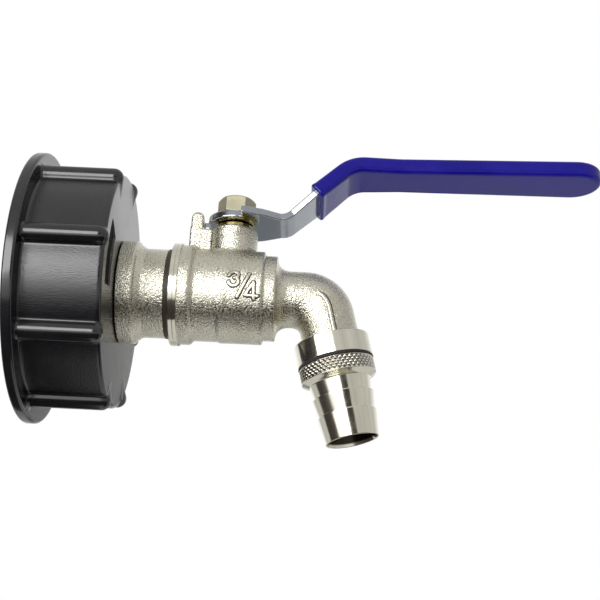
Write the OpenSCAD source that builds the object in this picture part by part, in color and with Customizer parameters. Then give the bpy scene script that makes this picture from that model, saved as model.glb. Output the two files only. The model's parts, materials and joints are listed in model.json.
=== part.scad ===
// Screw cap with ball tap for the outlet of a bulk liquid container.
// X runs along the flow, from the tank to the spout, Z along the tap's stem.
// The origin is the centre of the cap's open mouth.

/* [Tank coupling] */
// Diameter of the inside thread at its root, over the tank's outlet thread
root_d = 60.6; // [60:0.1:62]
// How much wider the plain bore at the cap's mouth is, on the radius
lead_wider = 0.6; // [0.5:0.1:0.8]
// Pitch of the coarse inside thread
tank_pitch = 6; // [5:0.5:6]
// Height of the thread's ridge above the bore
ridge_h = 1.9; // [1.2:0.1:2.2]
// Length of the plain bore before the thread starts
lead_in = 4.5; // [4:0.25:5]

/* [Cap] */
// Wall between the thread's root and the outside, between two ribs
cap_wall = 4.2; // [3.4:0.1:5]
// How far the rear rim stands proud of the wall
rim_proud = 5.5; // [4:0.1:7]
// Thickness of the rear rim
rim_t = 3.2; // [2.4:0.1:4.5]
// Length of the cap from mouth to front face
cap_len = 25.8; // [25:0.1:30]
// Thickness of the cap's front wall
front_t = 4.4; // [3.6:0.1:4.8]
// Rounding of the front corner
corner_r = 1; // [0.6:0.1:1.5]
// Number of grip ribs
rib_count = 8; // [6:1:10]
// Radius of a rib's round section
rib_r = 2.8; // [2:0.1:3]
// Angle of the first rib above the side that faces the viewer
rib_first = 6; // [0:1:20]
// How far a rib stands proud of the front face
rib_proud = 0.9; // [0.6:0.1:1.4]
// How far in from the wall a rib runs out to a point on the front face
rib_run_in = 5.2; // [4.6:0.1:6.5]
// Depth of the plain sunk panel in the front face
panel_depth = 0.5; // [0.3:0.1:0.8]
// Width of the sunk panel along the radius
panel_w = 7.5; // [5:0.5:8]
// Angle that the sunk panel spans
panel_span = 40; // [20:1:60]
// Wall of the inner hub round the tap's thread
hub_wall = 4; // [3:0.1:5]
// Length of the inner hub behind the front wall
hub_len = 9.5; // [8:0.1:11]

/* [Seals] */
// Thickness of the flat tank gasket
gasket_t = 2.4; // [1.8:0.1:2.6]
// Width of the tank gasket along the radius
gasket_w = 7.8; // [6:0.1:8]
// Thickness of the washer between cap and tap
washer_t = 1.1; // [0.6:0.1:1.5]
// Thickness of the ring between inlet tail and body
joint_seal_t = 1.4; // [1:0.1:2]
// Thickness of the ring between collar and hose tail
o_ring_t = 0.8; // [0.6:0.05:1.2]

/* [Inlet tail] */
// Outside diameter of the inlet thread, three quarter inch pipe
inlet_thread_d = 26.4; // [25.6:0.1:27]
// Water way through the inlet tail
inlet_bore = 15; // [12:0.1:16]
// How far the flange stands proud of the inlet thread
flange_proud = 2; // [1.6:0.1:3]
// Thickness of the flange
flange_t = 3.7; // [3:0.1:5]
// Length of the cast tube between flange and joint
tube_len = 9; // [7:0.1:12]

/* [Ball and seats] */
// Diameter of the ball
ball_d = 21.2; // [20.8:0.1:22]
// Water way through the ball
ball_bore = 12.6; // [11:0.1:13.4]
// Clearance between the ball and each seat
ball_gap = 0.1; // [0.06:0.01:0.15]
// Thickness of a seat ring along the flow
seat_t = 4; // [3.6:0.1:4.2]
// Width of a seat ring along the radius
seat_w = 3.7; // [3:0.1:3.8]

/* [Body] */
// Distance of the stem's axis behind the body's inlet face
stem_offset = 17; // [16.4:0.1:19]
// Clearance round the ball inside the barrel
chamber_gap = 0.5; // [0.4:0.05:0.8]
// Wall of the barrel
barrel_wall = 2.7; // [2.3:0.1:3.4]
// Length of the barrel beyond the stem's axis
barrel_reach = 9.9; // [9.6:0.1:12]
// How far the joint ring stands proud of the barrel
ring_proud = 1.5; // [1:0.1:2.2]
// Length of the turned part of the joint ring
ring_turned = 2.6; // [2:0.1:3]
// Length of the cast, rounded part of the joint ring
ring_cast = 4.4; // [3.6:0.1:5]
// Length of the smaller ring in front of the barrel
nose_len = 3.7; // [3:0.1:5]
// How far the smaller ring is set in from the barrel
nose_inset = 1.2; // [0.6:0.1:1.6]
// Diameter of the thread that joins inlet tail and body
joint_thread_d = 24; // [23.2:0.1:24.4]

/* [Neck and stem] */
// Diameter of the neck
neck_d = 14; // [13:0.1:16]
// Height of the neck's top above the flow axis
neck_top = 20.7; // [20.2:0.1:24]
// Diameter of the stem's shaft
stem_d = 7; // [6.4:0.1:7.4]
// Running clearance of the stem, on the radius
stem_gap = 0.05; // [0.03:0.01:0.08]
// Diameter of the packing chamber
packing_d = 10.4; // [9.6:0.1:10.8]
// Height of one packing ring
packing_t = 1.5; // [1:0.1:1.6]
// Thickness of the gland nut's head
gland_head_t = 1.55; // [1.2:0.05:3]
// Diameter of the gland nut's head
gland_head_d = 11.2; // [10.9:0.1:12.6]
// Diameter of the stem's thread under the lever nut
stem_thread_d = 6; // [5:0.1:6]
// Distance across the stem's flats
stem_flats = 4.8; // [4.2:0.1:5]
// Thickness of the stop post across the flow
post_t = 4; // [3:0.1:5]
// Height of the stop post above the neck's top
post_rise = 5.6; // [5:0.1:7]
// Gap between the lever's shoulders and the stop post
stop_gap = 0.35; // [0.25:0.05:0.5]

/* [Spout] */
// Water way through the elbow
spout_bore = 12.2; // [11:0.1:12.6]
// Wall of the elbow
spout_wall = 2.3; // [1.9:0.1:3]
// Distance of the elbow's corner beyond the stem's axis
spout_reach = 27.2; // [26:0.1:34]
// Lean of the spout away from the vertical
spout_tilt = 14; // [0:1:20]
// Radius of the elbow's bend along its centre line
bend_r = 6.5; // [5.5:0.1:8]
// Distance from the elbow's corner to the collar
collar_start = 12.8; // [12:0.1:18]
// Length of the turned collar
collar_len = 6.5; // [5.5:0.1:9]
// Diameter of the turned collar and of the knurled ring
collar_d = 22; // [21:0.1:24]
// Diameter of the thread that holds the hose tail
tail_thread_d = 18.3; // [17:0.1:18.6]

/* [Hose tail] */
// Water way through the hose tail
tail_bore = 12.6; // [11:0.1:13]
// Length of the knurled ring
knurl_len = 4.3; // [3.5:0.1:6]
// Length of the bevel below the knurled ring
bevel_len = 1.2; // [0.8:0.1:1.5]
// Largest diameter of the first barb
barb_1_d = 17.8; // [17.2:0.1:19]
// Largest diameter of the middle barb
barb_2_d = 18; // [17.2:0.1:19]
// Largest diameter of the last barb
barb_3_d = 17.2; // [16.6:0.1:18.4]
// How much a barb narrows towards its end, on the radius
barb_fall = 0.95; // [0.5:0.05:1]
// Length of the first barb
barb_1_len = 4.1; // [3:0.1:6]
// Length of the middle barb
barb_2_len = 5.4; // [4:0.1:8]
// Length of the last barb
barb_3_len = 7.8; // [6:0.1:10]

/* [Lever] */
// Thickness of the steel strip
strip_t = 2.1; // [1.6:0.1:2.6]
// Radius of the lever's end where it passes the stop post
lever_small_r = 8.2; // [7.4:0.1:8.6]
// Radius of the lever's broad part and of its stop shoulder
lever_wide_r = 12; // [11:0.1:12.6]
// Distance from the stem's axis to the first bend
plate_len = 13.7; // [13:0.1:18]
// Slope of the lever's ramp
ramp_angle = 44; // [25:1:50]
// Length of the ramp between the bends
ramp_len = 20.3; // [14:0.1:26]
// Rise of the grip away from the level
grip_angle = 1.3; // [0:0.1:6]
// Length of the straight grip
grip_len = 70.8; // [50:0.1:90]
// Centre line radius of the first bend
bend_low_r = 5; // [4:0.1:8]
// Centre line radius of the second bend
bend_high_r = 10; // [8:0.1:14]
// Half of the strip's width at the first bend
waist_half = 7.1; // [6:0.1:8]
// Half of the strip's width on the ramp
ramp_half = 8.3; // [6.5:0.1:9]
// Half of the strip's width where the grip starts
grip_half = 6.1; // [5:0.1:7.5]
// Half of the strip's width near the grip's end
end_half = 7.1; // [6:0.1:8.5]
// Thickness of the vinyl on the strip
vinyl_t = 1.45; // [0.8:0.05:2]
// Distance up the ramp where the vinyl starts
vinyl_start = 9.5; // [4:0.1:11]

/* [Lever fixing] */
// Thickness of the split washer
lock_washer_t = 1.2; // [0.8:0.1:1.6]
// Outside diameter of the split washer
lock_washer_d = 10.4; // [9:0.1:11]
// Width of the lever nut across its flats
nut_flats = 10; // [9:0.1:11]
// Height of the lever nut
nut_h = 5.2; // [4:0.1:6]

/* [Hidden] */
$fn = 72;

// Overlap of one cutting shape past a face
over = 1;
// Clearance between screwed pieces, on the radius
thread_gap = 0.05;
// Depth that one shape is sunk into another of the same piece
sink = 1;

// Small chamfer on turned edges
edge = 0.3;
// How far a rubber ring stands proud of the metal beside it
seal_proud = 0.1;
// Play between pieces stacked on the stem
stack_gap = 0.05;

// Cap
root_r = root_d / 2;
lead_r = root_r + lead_wider;
wall_r = root_r + cap_wall;
rim_r = wall_r + rim_proud;
rim_edge = 0.6;
floor_x = cap_len - front_t;
thread_r = inlet_thread_d / 2;
hub_r = thread_r + hub_wall;
rib_end_x = cap_len - rib_r + rib_proud;
rib_point_r = 0.3;
panel_r = wall_r - rib_run_in;
panel_low = -15.5;
gasket_gap = 0.3;
washer_over = 0.5;

// Thread ridge of the cap: widths along the axis and depth of its foot in the wall
ridge_foot_w = tank_pitch * 0.6;
ridge_crest_w = tank_pitch * 0.25;
ridge_lean = tank_pitch * 0.12;
ridge_steps = 36;
ridge_sink = 0.6;
ridge_gap = 0.3;
ridge_thin = 0.12;
ridge_first = lead_in + ridge_foot_w / 2 + ridge_gap;
ridge_room = floor_x - gasket_t - ridge_gap - ridge_foot_w / 2 - ridge_first;
ridge_n = floor(ridge_room / tank_pitch * ridge_steps);

// Places along the flow axis
flange_x = cap_len + washer_t;
tube_x = flange_x + flange_t;
joint_x = tube_x + tube_len;
body_x = joint_x + joint_seal_t;
stem_x = body_x + stem_offset;
barrel_end = stem_x + barrel_reach;
nose_end = barrel_end + nose_len;
flange_r = thread_r + flange_proud;
stub_proud = 0.8;
thread_chamfer = 1;
inlet_stub = hub_len + front_t + washer_t + stub_proud;
flange_round = 0.6;
flange_fillet = flange_proud - flange_round;
flange_fillet_len = 2.2;

// Ball, seats and chamber
ball_r = ball_d / 2;
seat_r = ball_bore / 2 + seat_w;
seat_wider = 0.3;
seat_back = 1.8;
seat_bore_r = ball_bore / 2 + seat_wider;
seat_far = sqrt(pow(ball_r + ball_gap, 2) - pow(seat_bore_r, 2)) + seat_back;
seat_near = seat_far - seat_t;
chamber_r = ball_r + chamber_gap;
barrel_r = chamber_r + barrel_wall;
ring_r = barrel_r + ring_proud;
nose_r = barrel_r - nose_inset;
step_back = 2.6;
step_x = stem_x - step_back;
step_in = 0.25;
step_run = 0.6;
cast_inset = 0.3;
barrel_chamfer = 0.8;
joint_r = joint_thread_d / 2;
joint_play = 0.6;
joint_depth = stem_offset - seat_near - joint_play;

// Stem, from the ball upwards
slot_w = 4;
slot_rise = 1.5;
slot_floor = ball_bore / 2 + slot_rise;
slot_gap = 0.05;
tang_len = 8;
stem_flange_w = 1.2;
stem_flange_r = stem_d / 2 + stem_flange_w;
stem_flange_gap = 0.3;
stem_flange_low = ball_r + stem_flange_gap;
stem_flange_t = 1.5;
thrust_t = 0.6;
thrust_low = stem_flange_low + stem_flange_t + stack_gap;
pocket_top = thrust_low + thrust_t + stack_gap;
pocket_gap = 0.2;
shelf_t = 1.3;
packing_low = pocket_top + shelf_t;
packing_mid = packing_low + packing_t;
packing_high = packing_mid + packing_t;
gland_top = neck_top + gland_head_t;
lever_gap = 0.25;
lever_z = gland_top + lever_gap;
lever_top = lever_z + strip_t;
washer_top = lever_top + lock_washer_t;
nut_top = washer_top + nut_h;
stem_proud = 0.3;
stem_end = nut_top + stem_proud;
flats_inset = 0.3;
flats_r = stem_d / 2 - flats_inset;

// Stop post: placed so that the lever's small end just passes it
post_gap = 1.3;
post_near = lever_small_r + post_gap;
post_len = 3.8;
post_top = neck_top + post_rise;
web_rise = 0.4;
web_top = neck_top + web_rise;

// Spout
spout_bore_r = spout_bore / 2;
spout_r = spout_bore_r + spout_wall;
corner_x = stem_x + spout_reach;
turn = 90 - spout_tilt;
bend_run = bend_r * tan(turn / 2);
bend_lap = 0.5;
bend_swell = 0.12;
drill_step = 0.15;
nose_fillet = 3;
fillet_ratio = 0.9;
collar_r = collar_d / 2;
collar_end = collar_start + collar_len;
tail_thread_r = tail_thread_d / 2;
knurl_start = collar_end + o_ring_t;

// Hose tail, measured down the spout from the elbow's corner
knurl_end = knurl_start + knurl_len;
bevel_end = knurl_end + bevel_len;
barb_1_end = bevel_end + barb_1_len;
barb_2_end = barb_1_end + barb_2_len;
tail_end = barb_2_end + barb_3_len;
tail_bore_r = tail_bore / 2;
mouth_chamfer = 0.8;
thread_shelf = 1.4;
shelf_gap = 0.4;
stub_low = collar_start + thread_shelf + shelf_gap;
barb_1_fall = barb_fall * 0.7;

// Lever's centre line: level plate, bend, ramp, bend, grip
bend_steps = 6;
low_run = bend_low_r * ramp_angle * PI / 180;
high_run = bend_high_r * (ramp_angle - grip_angle) * PI / 180;
s_ramp = plate_len + low_run;
s_bend = s_ramp + ramp_len;
s_grip = s_bend + high_run;
s_end = s_grip + grip_len;
sleeve_from = s_ramp + vinyl_start;
sleeve_round = 1.5;
sleeve_steps = 12;
end_steps = 6;
plan_steps = 40;
round_limit = 0.98;

// Where the strip's outline turns, as shares of its parts
broad_from = 0.15;
broad_to = 0.62;
broad_taper = 0.84;
ramp_wide_at = 0.45;
grip_narrow_at = 0.15;

// A point of the lever's centre line at the distance s from the stem: [x, height, slope]
function low_end() = [plate_len + bend_low_r * sin(ramp_angle), bend_low_r * (1 - cos(ramp_angle))];
function ramp_end() = low_end() + ramp_len * [cos(ramp_angle), sin(ramp_angle)];
function high_point(a) = ramp_end()
    + bend_high_r * [sin(ramp_angle) - sin(a), cos(a) - cos(ramp_angle)];
function lever_point(s) =
    s <= plate_len ? [s, 0, 0]
    : s <= s_ramp ? let (a = ramp_angle * (s - plate_len) / low_run)
        [plate_len + bend_low_r * sin(a), bend_low_r * (1 - cos(a)), a]
    : s <= s_bend ? let (p = low_end() + (s - s_ramp) * [cos(ramp_angle), sin(ramp_angle)])
        [p[0], p[1], ramp_angle]
    : s <= s_grip ? let (
            a = ramp_angle - (ramp_angle - grip_angle) * (s - s_bend) / high_run,
            p = high_point(a))
        [p[0], p[1], a]
    : let (p = high_point(grip_angle) + (s - s_grip) * [cos(grip_angle), sin(grip_angle)])
        [p[0], p[1], grip_angle];

// A point set off from the centre line by d, square to it
function beside(s, d) = let (p = lever_point(s)) [p[0] - d * sin(p[2]), p[1] + d * cos(p[2])];

// Distances along the lever where its outline turns
bend_low_s = [for (i = [0:bend_steps]) plate_len + low_run * i / bend_steps];
bend_high_s = [for (i = [0:bend_steps]) s_bend + high_run * i / bend_steps];
lever_s = concat(bend_low_s, bend_high_s, [s_end]);

// Half width of the strip at the distance s
function strip_half(s) = lookup(s, [
    [plate_len * broad_from, lever_wide_r],
    [plate_len * broad_to, lever_wide_r * broad_taper],
    [plate_len, waist_half],
    [s_ramp, waist_half],
    [s_ramp + ramp_len * ramp_wide_at, ramp_half],
    [s_bend + high_run / 2, (ramp_half + grip_half) / 2],
    [s_grip + grip_len * grip_narrow_at, grip_half],
    [s_end - end_half, end_half]]);

// Turns a shape's Z axis onto the flow axis
module along_flow(x = 0) {
    translate([x, 0, 0])
        rotate([0, 90, 0])
            children();
}

// Turns a shape's Z axis down the spout, from the elbow's corner
module along_spout(s = 0) {
    translate([corner_x, 0, 0])
        rotate([0, 180 - spout_tilt, 0])
            translate([0, 0, s])
                children();
}

// A ring from height 0 to t
module ring(inner, outer, t) {
    difference() {
        cylinder(h = t, r = outer);
        translate([0, 0, -over])
            cylinder(h = t + 2 * over, r = inner);
    }
}

// Buttress section of the thread's ridge, as [radius, place along the axis]
function ridge_section(fade) = let (
        foot = root_r + ridge_sink,
        crest = root_r - ridge_h * fade)
    [[foot, -ridge_foot_w / 2], [foot, ridge_foot_w / 2],
    [crest, ridge_crest_w / 2 + ridge_lean], [crest, -ridge_crest_w / 2 + ridge_lean]];

// Helical ridge, fading out over a third of a turn at both ends
module thread_ridge() {
    n = ridge_n;
    fade_n = ridge_steps / 3;
    points = [for (i = [0:n]) let (
            a = 360 * i / ridge_steps,
            fade = min(1, ridge_thin + min(i, n - i) / fade_n),
            z = ridge_first + tank_pitch * i / ridge_steps)
        for (p = ridge_section(fade)) [p[0] * cos(a), p[0] * sin(a), z + p[1]]];
    sides = [for (i = [0:n - 1]) for (k = [0:3]) let (
            a = 4 * i + k,
            b = 4 * i + (k + 1) % 4)
        each [[a, b, b + 4], [a, b + 4, a + 4]]];
    caps = [[3, 2, 1, 0], [4 * n, 4 * n + 1, 4 * n + 2, 4 * n + 3]];
    polyhedron(points = points, faces = concat(sides, caps), convexity = 8);
}

// Rim, wall and front of the cap in one turned outline, as [radius, place along the axis]
module cap_turned() {
    corner = [for (a = [0:15:90]) [
        wall_r - corner_r * (1 - cos(a)),
        cap_len - corner_r * (1 - sin(a))]];
    rotate_extrude()
        polygon(concat(
            [[0, 0], [rim_r - rim_edge, 0], [rim_r, rim_edge], [rim_r, rim_t - rim_edge],
            [rim_r - rim_edge, rim_t], [wall_r, rim_t]],
            corner,
            [[0, cap_len]]));
}

// One grip rib: a round bar that turns the front corner and runs out to a point
module rib() {
    point = [panel_r, cap_len - rib_point_r];
    start = [wall_r, rib_end_x];
    span = point - start;
    reach = norm(span);
    lean = asin((rib_r - rib_point_r) / reach);
    heading = atan2(-span[0], span[1]);
    translate([wall_r, 0, rim_t - sink]) {
        cylinder(h = rib_end_x - rim_t + sink, r = rib_r, $fn = 48);
        translate([0, 0, rib_end_x - rim_t + sink]) {
            sphere(r = rib_r, $fn = 48);
            rotate([0, -heading, 0])
                translate([0, 0, rib_r * sin(lean)])
                    cylinder(h = reach - (rib_r - rib_point_r) * sin(lean), r1 = rib_r * cos(lean),
                        r2 = rib_point_r * cos(lean), $fn = 48);
        }
    }
}

module cap() {
    color([0.09, 0.09, 0.1])
        along_flow() {
            difference() {
                union() {
                    cap_turned();
                    for (i = [0:rib_count - 1])
                        rotate([0, 0, -90 - rib_first - 360 / rib_count * i])
                            rib();
                }
                // Inside of the cap, down to its floor
                difference() {
                    translate([0, 0, -over])
                        cylinder(h = floor_x + over, r = root_r, $fn = 96);
                    translate([0, 0, floor_x - hub_len])
                        cylinder(h = hub_len + over, r = hub_r);
                }
                // Wider plain bore at the mouth
                translate([0, 0, -over])
                    cylinder(h = lead_in + over, r = lead_r, $fn = 96);
                // Hole for the tap's inlet thread
                translate([0, 0, -over])
                    cylinder(h = cap_len + 2 * over, r = thread_r + thread_gap);
                // Plain sunk panel in the front face
                rotate([0, 0, -90 - panel_low - panel_span])
                    translate([0, 0, cap_len - panel_depth])
                        rotate_extrude(angle = panel_span)
                            translate([panel_r - panel_w, 0])
                                square([panel_w, panel_depth + over]);
            }
            thread_ridge();
        }
}

module tank_gasket() {
    color([0.06, 0.06, 0.06])
        along_flow(floor_x - gasket_t)
            ring(root_r - gasket_gap - gasket_w, root_r - gasket_gap, gasket_t);
}

module inlet_washer() {
    color([0.05, 0.05, 0.05])
        along_flow(cap_len)
            ring(thread_r + thread_gap, flange_r + washer_over, washer_t);
}

// Flange, fillet and tube of the inlet tail, then its two threaded ends
module inlet_tail() {
    rounding = [for (a = [0:30:60]) [
        flange_r - flange_round * (1 - cos(a)),
        flange_t - flange_round * (1 - sin(a))]];
    fillet = [for (a = [0:15:90]) [
        thread_r + flange_fillet * (1 - sin(a)),
        flange_t + flange_fillet_len * (1 - cos(a))]];
    joint_top = flange_t + tube_len + joint_seal_t + joint_depth;
    color([0.72, 0.69, 0.62])
        along_flow(flange_x)
            difference() {
                rotate_extrude()
                    polygon(concat(
                        [[0, -inlet_stub], [thread_r - thread_chamfer, -inlet_stub],
                        [thread_r, thread_chamfer - inlet_stub], [thread_r, 0],
                        [flange_r - edge, 0], [flange_r, edge]],
                        rounding,
                        fillet,
                        [[thread_r, flange_t + tube_len], [joint_r, flange_t + tube_len],
                        [joint_r, joint_top], [0, joint_top]]));
                translate([0, 0, -inlet_stub - over])
                    cylinder(h = joint_top + inlet_stub + 2 * over, r = inlet_bore / 2);
                // Pocket of the inlet seat
                translate([0, 0, stem_x - seat_far - flange_x])
                    cylinder(h = seat_t + over, r = seat_r + thread_gap);
            }
}

module joint_seal() {
    color([0.16, 0.1, 0.06])
        along_flow(joint_x)
            ring(joint_r + thread_gap, thread_r + seal_proud, joint_seal_t);
}

// Outside of the barrel: turned ring, rounded cast ring, barrel, nose and fillet to the spout
module barrel_outline() {
    cast = ring_cast / 2;
    rounding = [for (a = [90:-15:0]) [
        barrel_r - step_in + (ring_proud - cast_inset) * sin(a),
        ring_turned + cast + cast * cos(a)]];
    fillet = [for (a = [0:15:90]) [
        spout_r + nose_fillet * (1 - sin(a)),
        nose_end - body_x + nose_fillet * (1 - cos(a)) * fillet_ratio]];
    along_flow(body_x)
        rotate_extrude()
            polygon(concat(
                [[0, 0], [ring_r - edge, 0], [ring_r, edge], [ring_r, ring_turned],
                [barrel_r - step_in + ring_proud - cast_inset, ring_turned]],
                rounding,
                [[barrel_r - step_in, step_x - body_x - step_run], [barrel_r, step_x - body_x],
                [barrel_r, barrel_end - body_x - barrel_chamfer],
                [barrel_r - barrel_chamfer, barrel_end - body_x],
                [nose_r, barrel_end - body_x], [nose_r, nose_end - body_x - edge],
                [nose_r - edge, nose_end - body_x], [spout_r + nose_fillet, nose_end - body_x]],
                fillet,
                [[0, nose_end - body_x + nose_fillet]]));
}

// Cast stop post beside the neck, flat across the flow
module stop_post() {
    far = post_near + post_len;
    tip = post_len / 2;
    notch = 1;
    translate([stem_x, post_t / 2, 0])
        rotate([90, 0, 0])
            linear_extrude(post_t)
                difference() {
                    union() {
                        translate([-far, chamber_r + sink])
                            square([post_len, post_top - tip - chamber_r - sink]);
                        translate([-far + tip, post_top - tip])
                            circle(r = tip);
                        translate([-far, chamber_r + sink])
                            square([far - neck_d / 4, web_top + notch - chamber_r - sink]);
                    }
                    // Round inner corner between post and web
                    translate([-post_near + notch, web_top + notch])
                        circle(r = notch, $fn = 32);
                    translate([-post_near + notch, web_top])
                        square([post_near, notch + over]);
                }
}

module elbow() {
    along_flow(nose_end)
        cylinder(h = corner_x - bend_run - nose_end + bend_lap, r = spout_r);
    translate([corner_x - bend_run, 0, -bend_r])
        rotate([90, 0, 0])
            rotate([0, 0, 90 - turn])
                rotate_extrude(angle = turn)
                    intersection() {
                        translate([bend_r, 0])
                            circle(r = spout_r + bend_swell);
                        translate([0, -2 * spout_r])
                            square([bend_r + 2 * spout_r, 4 * spout_r]);
                    }
    along_spout(bend_run - bend_lap)
        cylinder(h = collar_start - bend_run + bend_lap + edge, r = spout_r);
    // Turned collar
    along_spout(collar_start)
        rotate_extrude()
            polygon([[0, 0], [collar_r - edge, 0], [collar_r, edge], [collar_r, collar_len - edge],
                [collar_r - edge, collar_len], [0, collar_len]]);
}

module body() {
    color([0.74, 0.71, 0.64])
        difference() {
            union() {
                barrel_outline();
                translate([stem_x, 0, 0])
                    cylinder(h = neck_top, r = neck_d / 2);
                stop_post();
                elbow();
            }
            // Thread for the inlet tail, ball chamber, seat pocket and water way
            along_flow(body_x - over)
                cylinder(h = joint_depth + over, r = joint_r + thread_gap);
            along_flow(body_x)
                cylinder(h = stem_offset + seat_near, r = chamber_r);
            along_flow(stem_x)
                cylinder(h = seat_far, r = seat_r + thread_gap);
            along_flow(stem_x)
                cylinder(h = spout_reach, r = spout_bore_r);
            along_spout(-spout_bore_r / 2)
                cylinder(h = collar_end + spout_bore_r, r = spout_bore_r + drill_step);
            // Thread for the hose tail
            along_spout(collar_start + thread_shelf)
                cylinder(h = collar_len + over, r = tail_thread_r + thread_gap);
            // Stem pocket, stem bore and packing chamber
            translate([stem_x, 0, 0]) {
                cylinder(h = pocket_top, r = stem_flange_r + pocket_gap);
                cylinder(h = neck_top + over, r = stem_d / 2 + stem_gap);
                translate([0, 0, packing_low])
                    cylinder(h = neck_top, r = packing_d / 2);
                // Seat of the gland nut's head, cut into the web
                translate([0, 0, neck_top])
                    cylinder(h = gland_head_t + over, r = gland_head_d / 2 + pocket_gap);
            }
        }
}

module ball() {
    color([0.85, 0.85, 0.86])
        translate([stem_x, 0, 0])
            difference() {
                sphere(r = ball_r, $fn = 96);
                rotate([0, 90, 0])
                    cylinder(h = ball_d + 2 * over, r = ball_bore / 2, center = true);
                translate([-slot_w / 2, -ball_r, slot_floor])
                    cube([slot_w, ball_d, ball_r]);
            }
}

// Seat ring with its face cut to the ball, on the outlet side of the stem
module seat() {
    difference() {
        translate([0, 0, seat_near])
            ring(seat_bore_r, seat_r, seat_t);
        sphere(r = ball_r + ball_gap, $fn = 96);
    }
}

module inlet_seat() {
    color([0.93, 0.93, 0.9])
        translate([stem_x, 0, 0])
            rotate([0, -90, 0])
                seat();
}

module outlet_seat() {
    color([0.93, 0.93, 0.9])
        along_flow(stem_x)
            seat();
}

// Section of the stem with its two flats, as wide as r
module stem_flat_section(r, grow, h) {
    intersection() {
        cylinder(h = h, r = r + grow);
        translate([-stem_flats / 2 - grow, -stem_d, -over])
            cube([stem_flats + 2 * grow, 2 * stem_d, h + 2 * over]);
    }
}

module stem() {
    color([0.78, 0.66, 0.36])
        translate([stem_x, 0, 0]) {
            intersection() {
                translate([-slot_w / 2 + slot_gap, -tang_len / 2, slot_floor + slot_gap])
                    cube([slot_w - 2 * slot_gap, tang_len, stem_flange_low - slot_floor + sink]);
                cylinder(h = neck_top, r = stem_flange_r);
            }
            translate([0, 0, stem_flange_low])
                cylinder(h = stem_flange_t, r = stem_flange_r);
            translate([0, 0, stem_flange_low])
                cylinder(h = lever_z - stem_flange_low, r = stem_d / 2);
            translate([0, 0, lever_z - over])
                stem_flat_section(flats_r, 0, strip_t + over);
            // The flats run on through the thread, so that the lever goes over it
            translate([0, 0, lever_z])
                stem_flat_section(stem_thread_d / 2, 0, stem_end - lever_z);
        }
}

module stem_thrust_washer() {
    color([0.93, 0.93, 0.9])
        translate([stem_x, 0, thrust_low])
            ring(stem_d / 2 + stem_gap, stem_flange_r, thrust_t);
}

module packing_lower() {
    color([0.93, 0.93, 0.9])
        translate([stem_x, 0, packing_low])
            ring(stem_d / 2 + stem_gap, packing_d / 2 - thread_gap, packing_t);
}

module packing_upper() {
    color([0.93, 0.93, 0.9])
        translate([stem_x, 0, packing_mid])
            ring(stem_d / 2 + stem_gap, packing_d / 2 - thread_gap, packing_t);
}

module gland_nut() {
    head = gland_head_d / 2;
    color([0.8, 0.63, 0.25])
        translate([stem_x, 0, 0])
            difference() {
                rotate_extrude()
                    polygon([[0, packing_high], [packing_d / 2 - thread_gap, packing_high],
                        [packing_d / 2 - thread_gap, neck_top], [head, neck_top],
                        [head, gland_top - edge], [head - edge, gland_top], [0, gland_top]]);
                translate([0, 0, packing_high - over])
                    cylinder(h = gland_top, r = stem_d / 2 + stem_gap);
            }
}

// Lever seen from above: small end, stop shoulders, broad plate, waist and grip
module lever_plan() {
    shoulder = post_t / 2 + stop_gap;
    reach = lever_point(s_end)[0];
    round_x = reach - end_half;
    s_list = [for (i = [1:plan_steps]) s_end * i / plan_steps];
    kept = [for (s = s_list) if (lever_point(s)[0] > shoulder && lever_point(s)[0] < round_x) s];
    near = [for (s = kept) [lever_point(s)[0], -strip_half(s)]];
    far = [for (i = [len(near) - 1:-1:0]) [near[i][0], -near[i][1]]];
    circle(r = lever_small_r);
    // Broad side with both stop shoulders
    intersection() {
        circle(r = lever_wide_r);
        union() {
            translate([-lever_wide_r, shoulder])
                square([2 * lever_wide_r, lever_wide_r]);
            translate([shoulder, -lever_wide_r])
                square([lever_wide_r, 2 * lever_wide_r]);
        }
    }
    polygon(concat([[shoulder, -strip_half(0)]], near, [[round_x, -end_half], [round_x, end_half]], far,
        [[shoulder, strip_half(0)]]));
    translate([round_x, 0])
        circle(r = end_half);
}

// Lever seen from the side, as thick as t
module lever_side(t, from) {
    s_list = concat([from], [for (s = lever_s) if (s > from) s]);
    n = len(s_list) - 1;
    polygon(concat(
        [for (s = s_list) beside(s, -t / 2)],
        [for (i = [n:-1:0]) beside(s_list[i], t / 2)]));
}

// The bent strip without its stem hole
module strip() {
    translate([stem_x, 0, lever_z + strip_t / 2])
        intersection() {
            rotate([90, 0, 0])
                linear_extrude(4 * lever_wide_r, center = true)
                    lever_side(strip_t, -2 * lever_wide_r);
            translate([0, 0, -over - strip_t])
                linear_extrude(ramp_len + bend_high_r + bend_low_r + 2 * over)
                    lever_plan();
        }
}

module lever() {
    color([0.7, 0.72, 0.75])
        difference() {
            strip();
            translate([stem_x, 0, lever_z - over])
                stem_flat_section(flats_r, stem_gap, strip_t + 2 * over);
        }
}

// Section of the vinyl: a flat bar with round edges, as [across, up]
function sleeve_section(half, thick) = [for (c = [[1, 1], [-1, 1], [-1, -1], [1, -1]])
    for (a = [0, 30, 60, 90]) let (
        turned = (c[0] * c[1] > 0 ? a : 90 - a),
        r = min(sleeve_round, half * round_limit, thick * round_limit))
    [c[0] * (half - r + r * cos(turned)), c[1] * (thick - r + r * sin(turned))]];

// Distances along the sleeve and its shrinking towards the round end
sleeve_tip = s_end + vinyl_t;
end_out = end_half + vinyl_t;
round_from = sleeve_tip - end_out;
sleeve_s = concat(
    [for (i = [0:3]) sleeve_from + (s_bend - sleeve_from) * i / 3],
    [for (i = [1:bend_steps]) s_bend + high_run * i / bend_steps],
    [for (i = [1:sleeve_steps / 2]) s_grip + (round_from - s_grip) * i / (sleeve_steps / 2)],
    [for (i = [1:end_steps]) round_from + end_out * sin(88 * i / end_steps)]);

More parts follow.
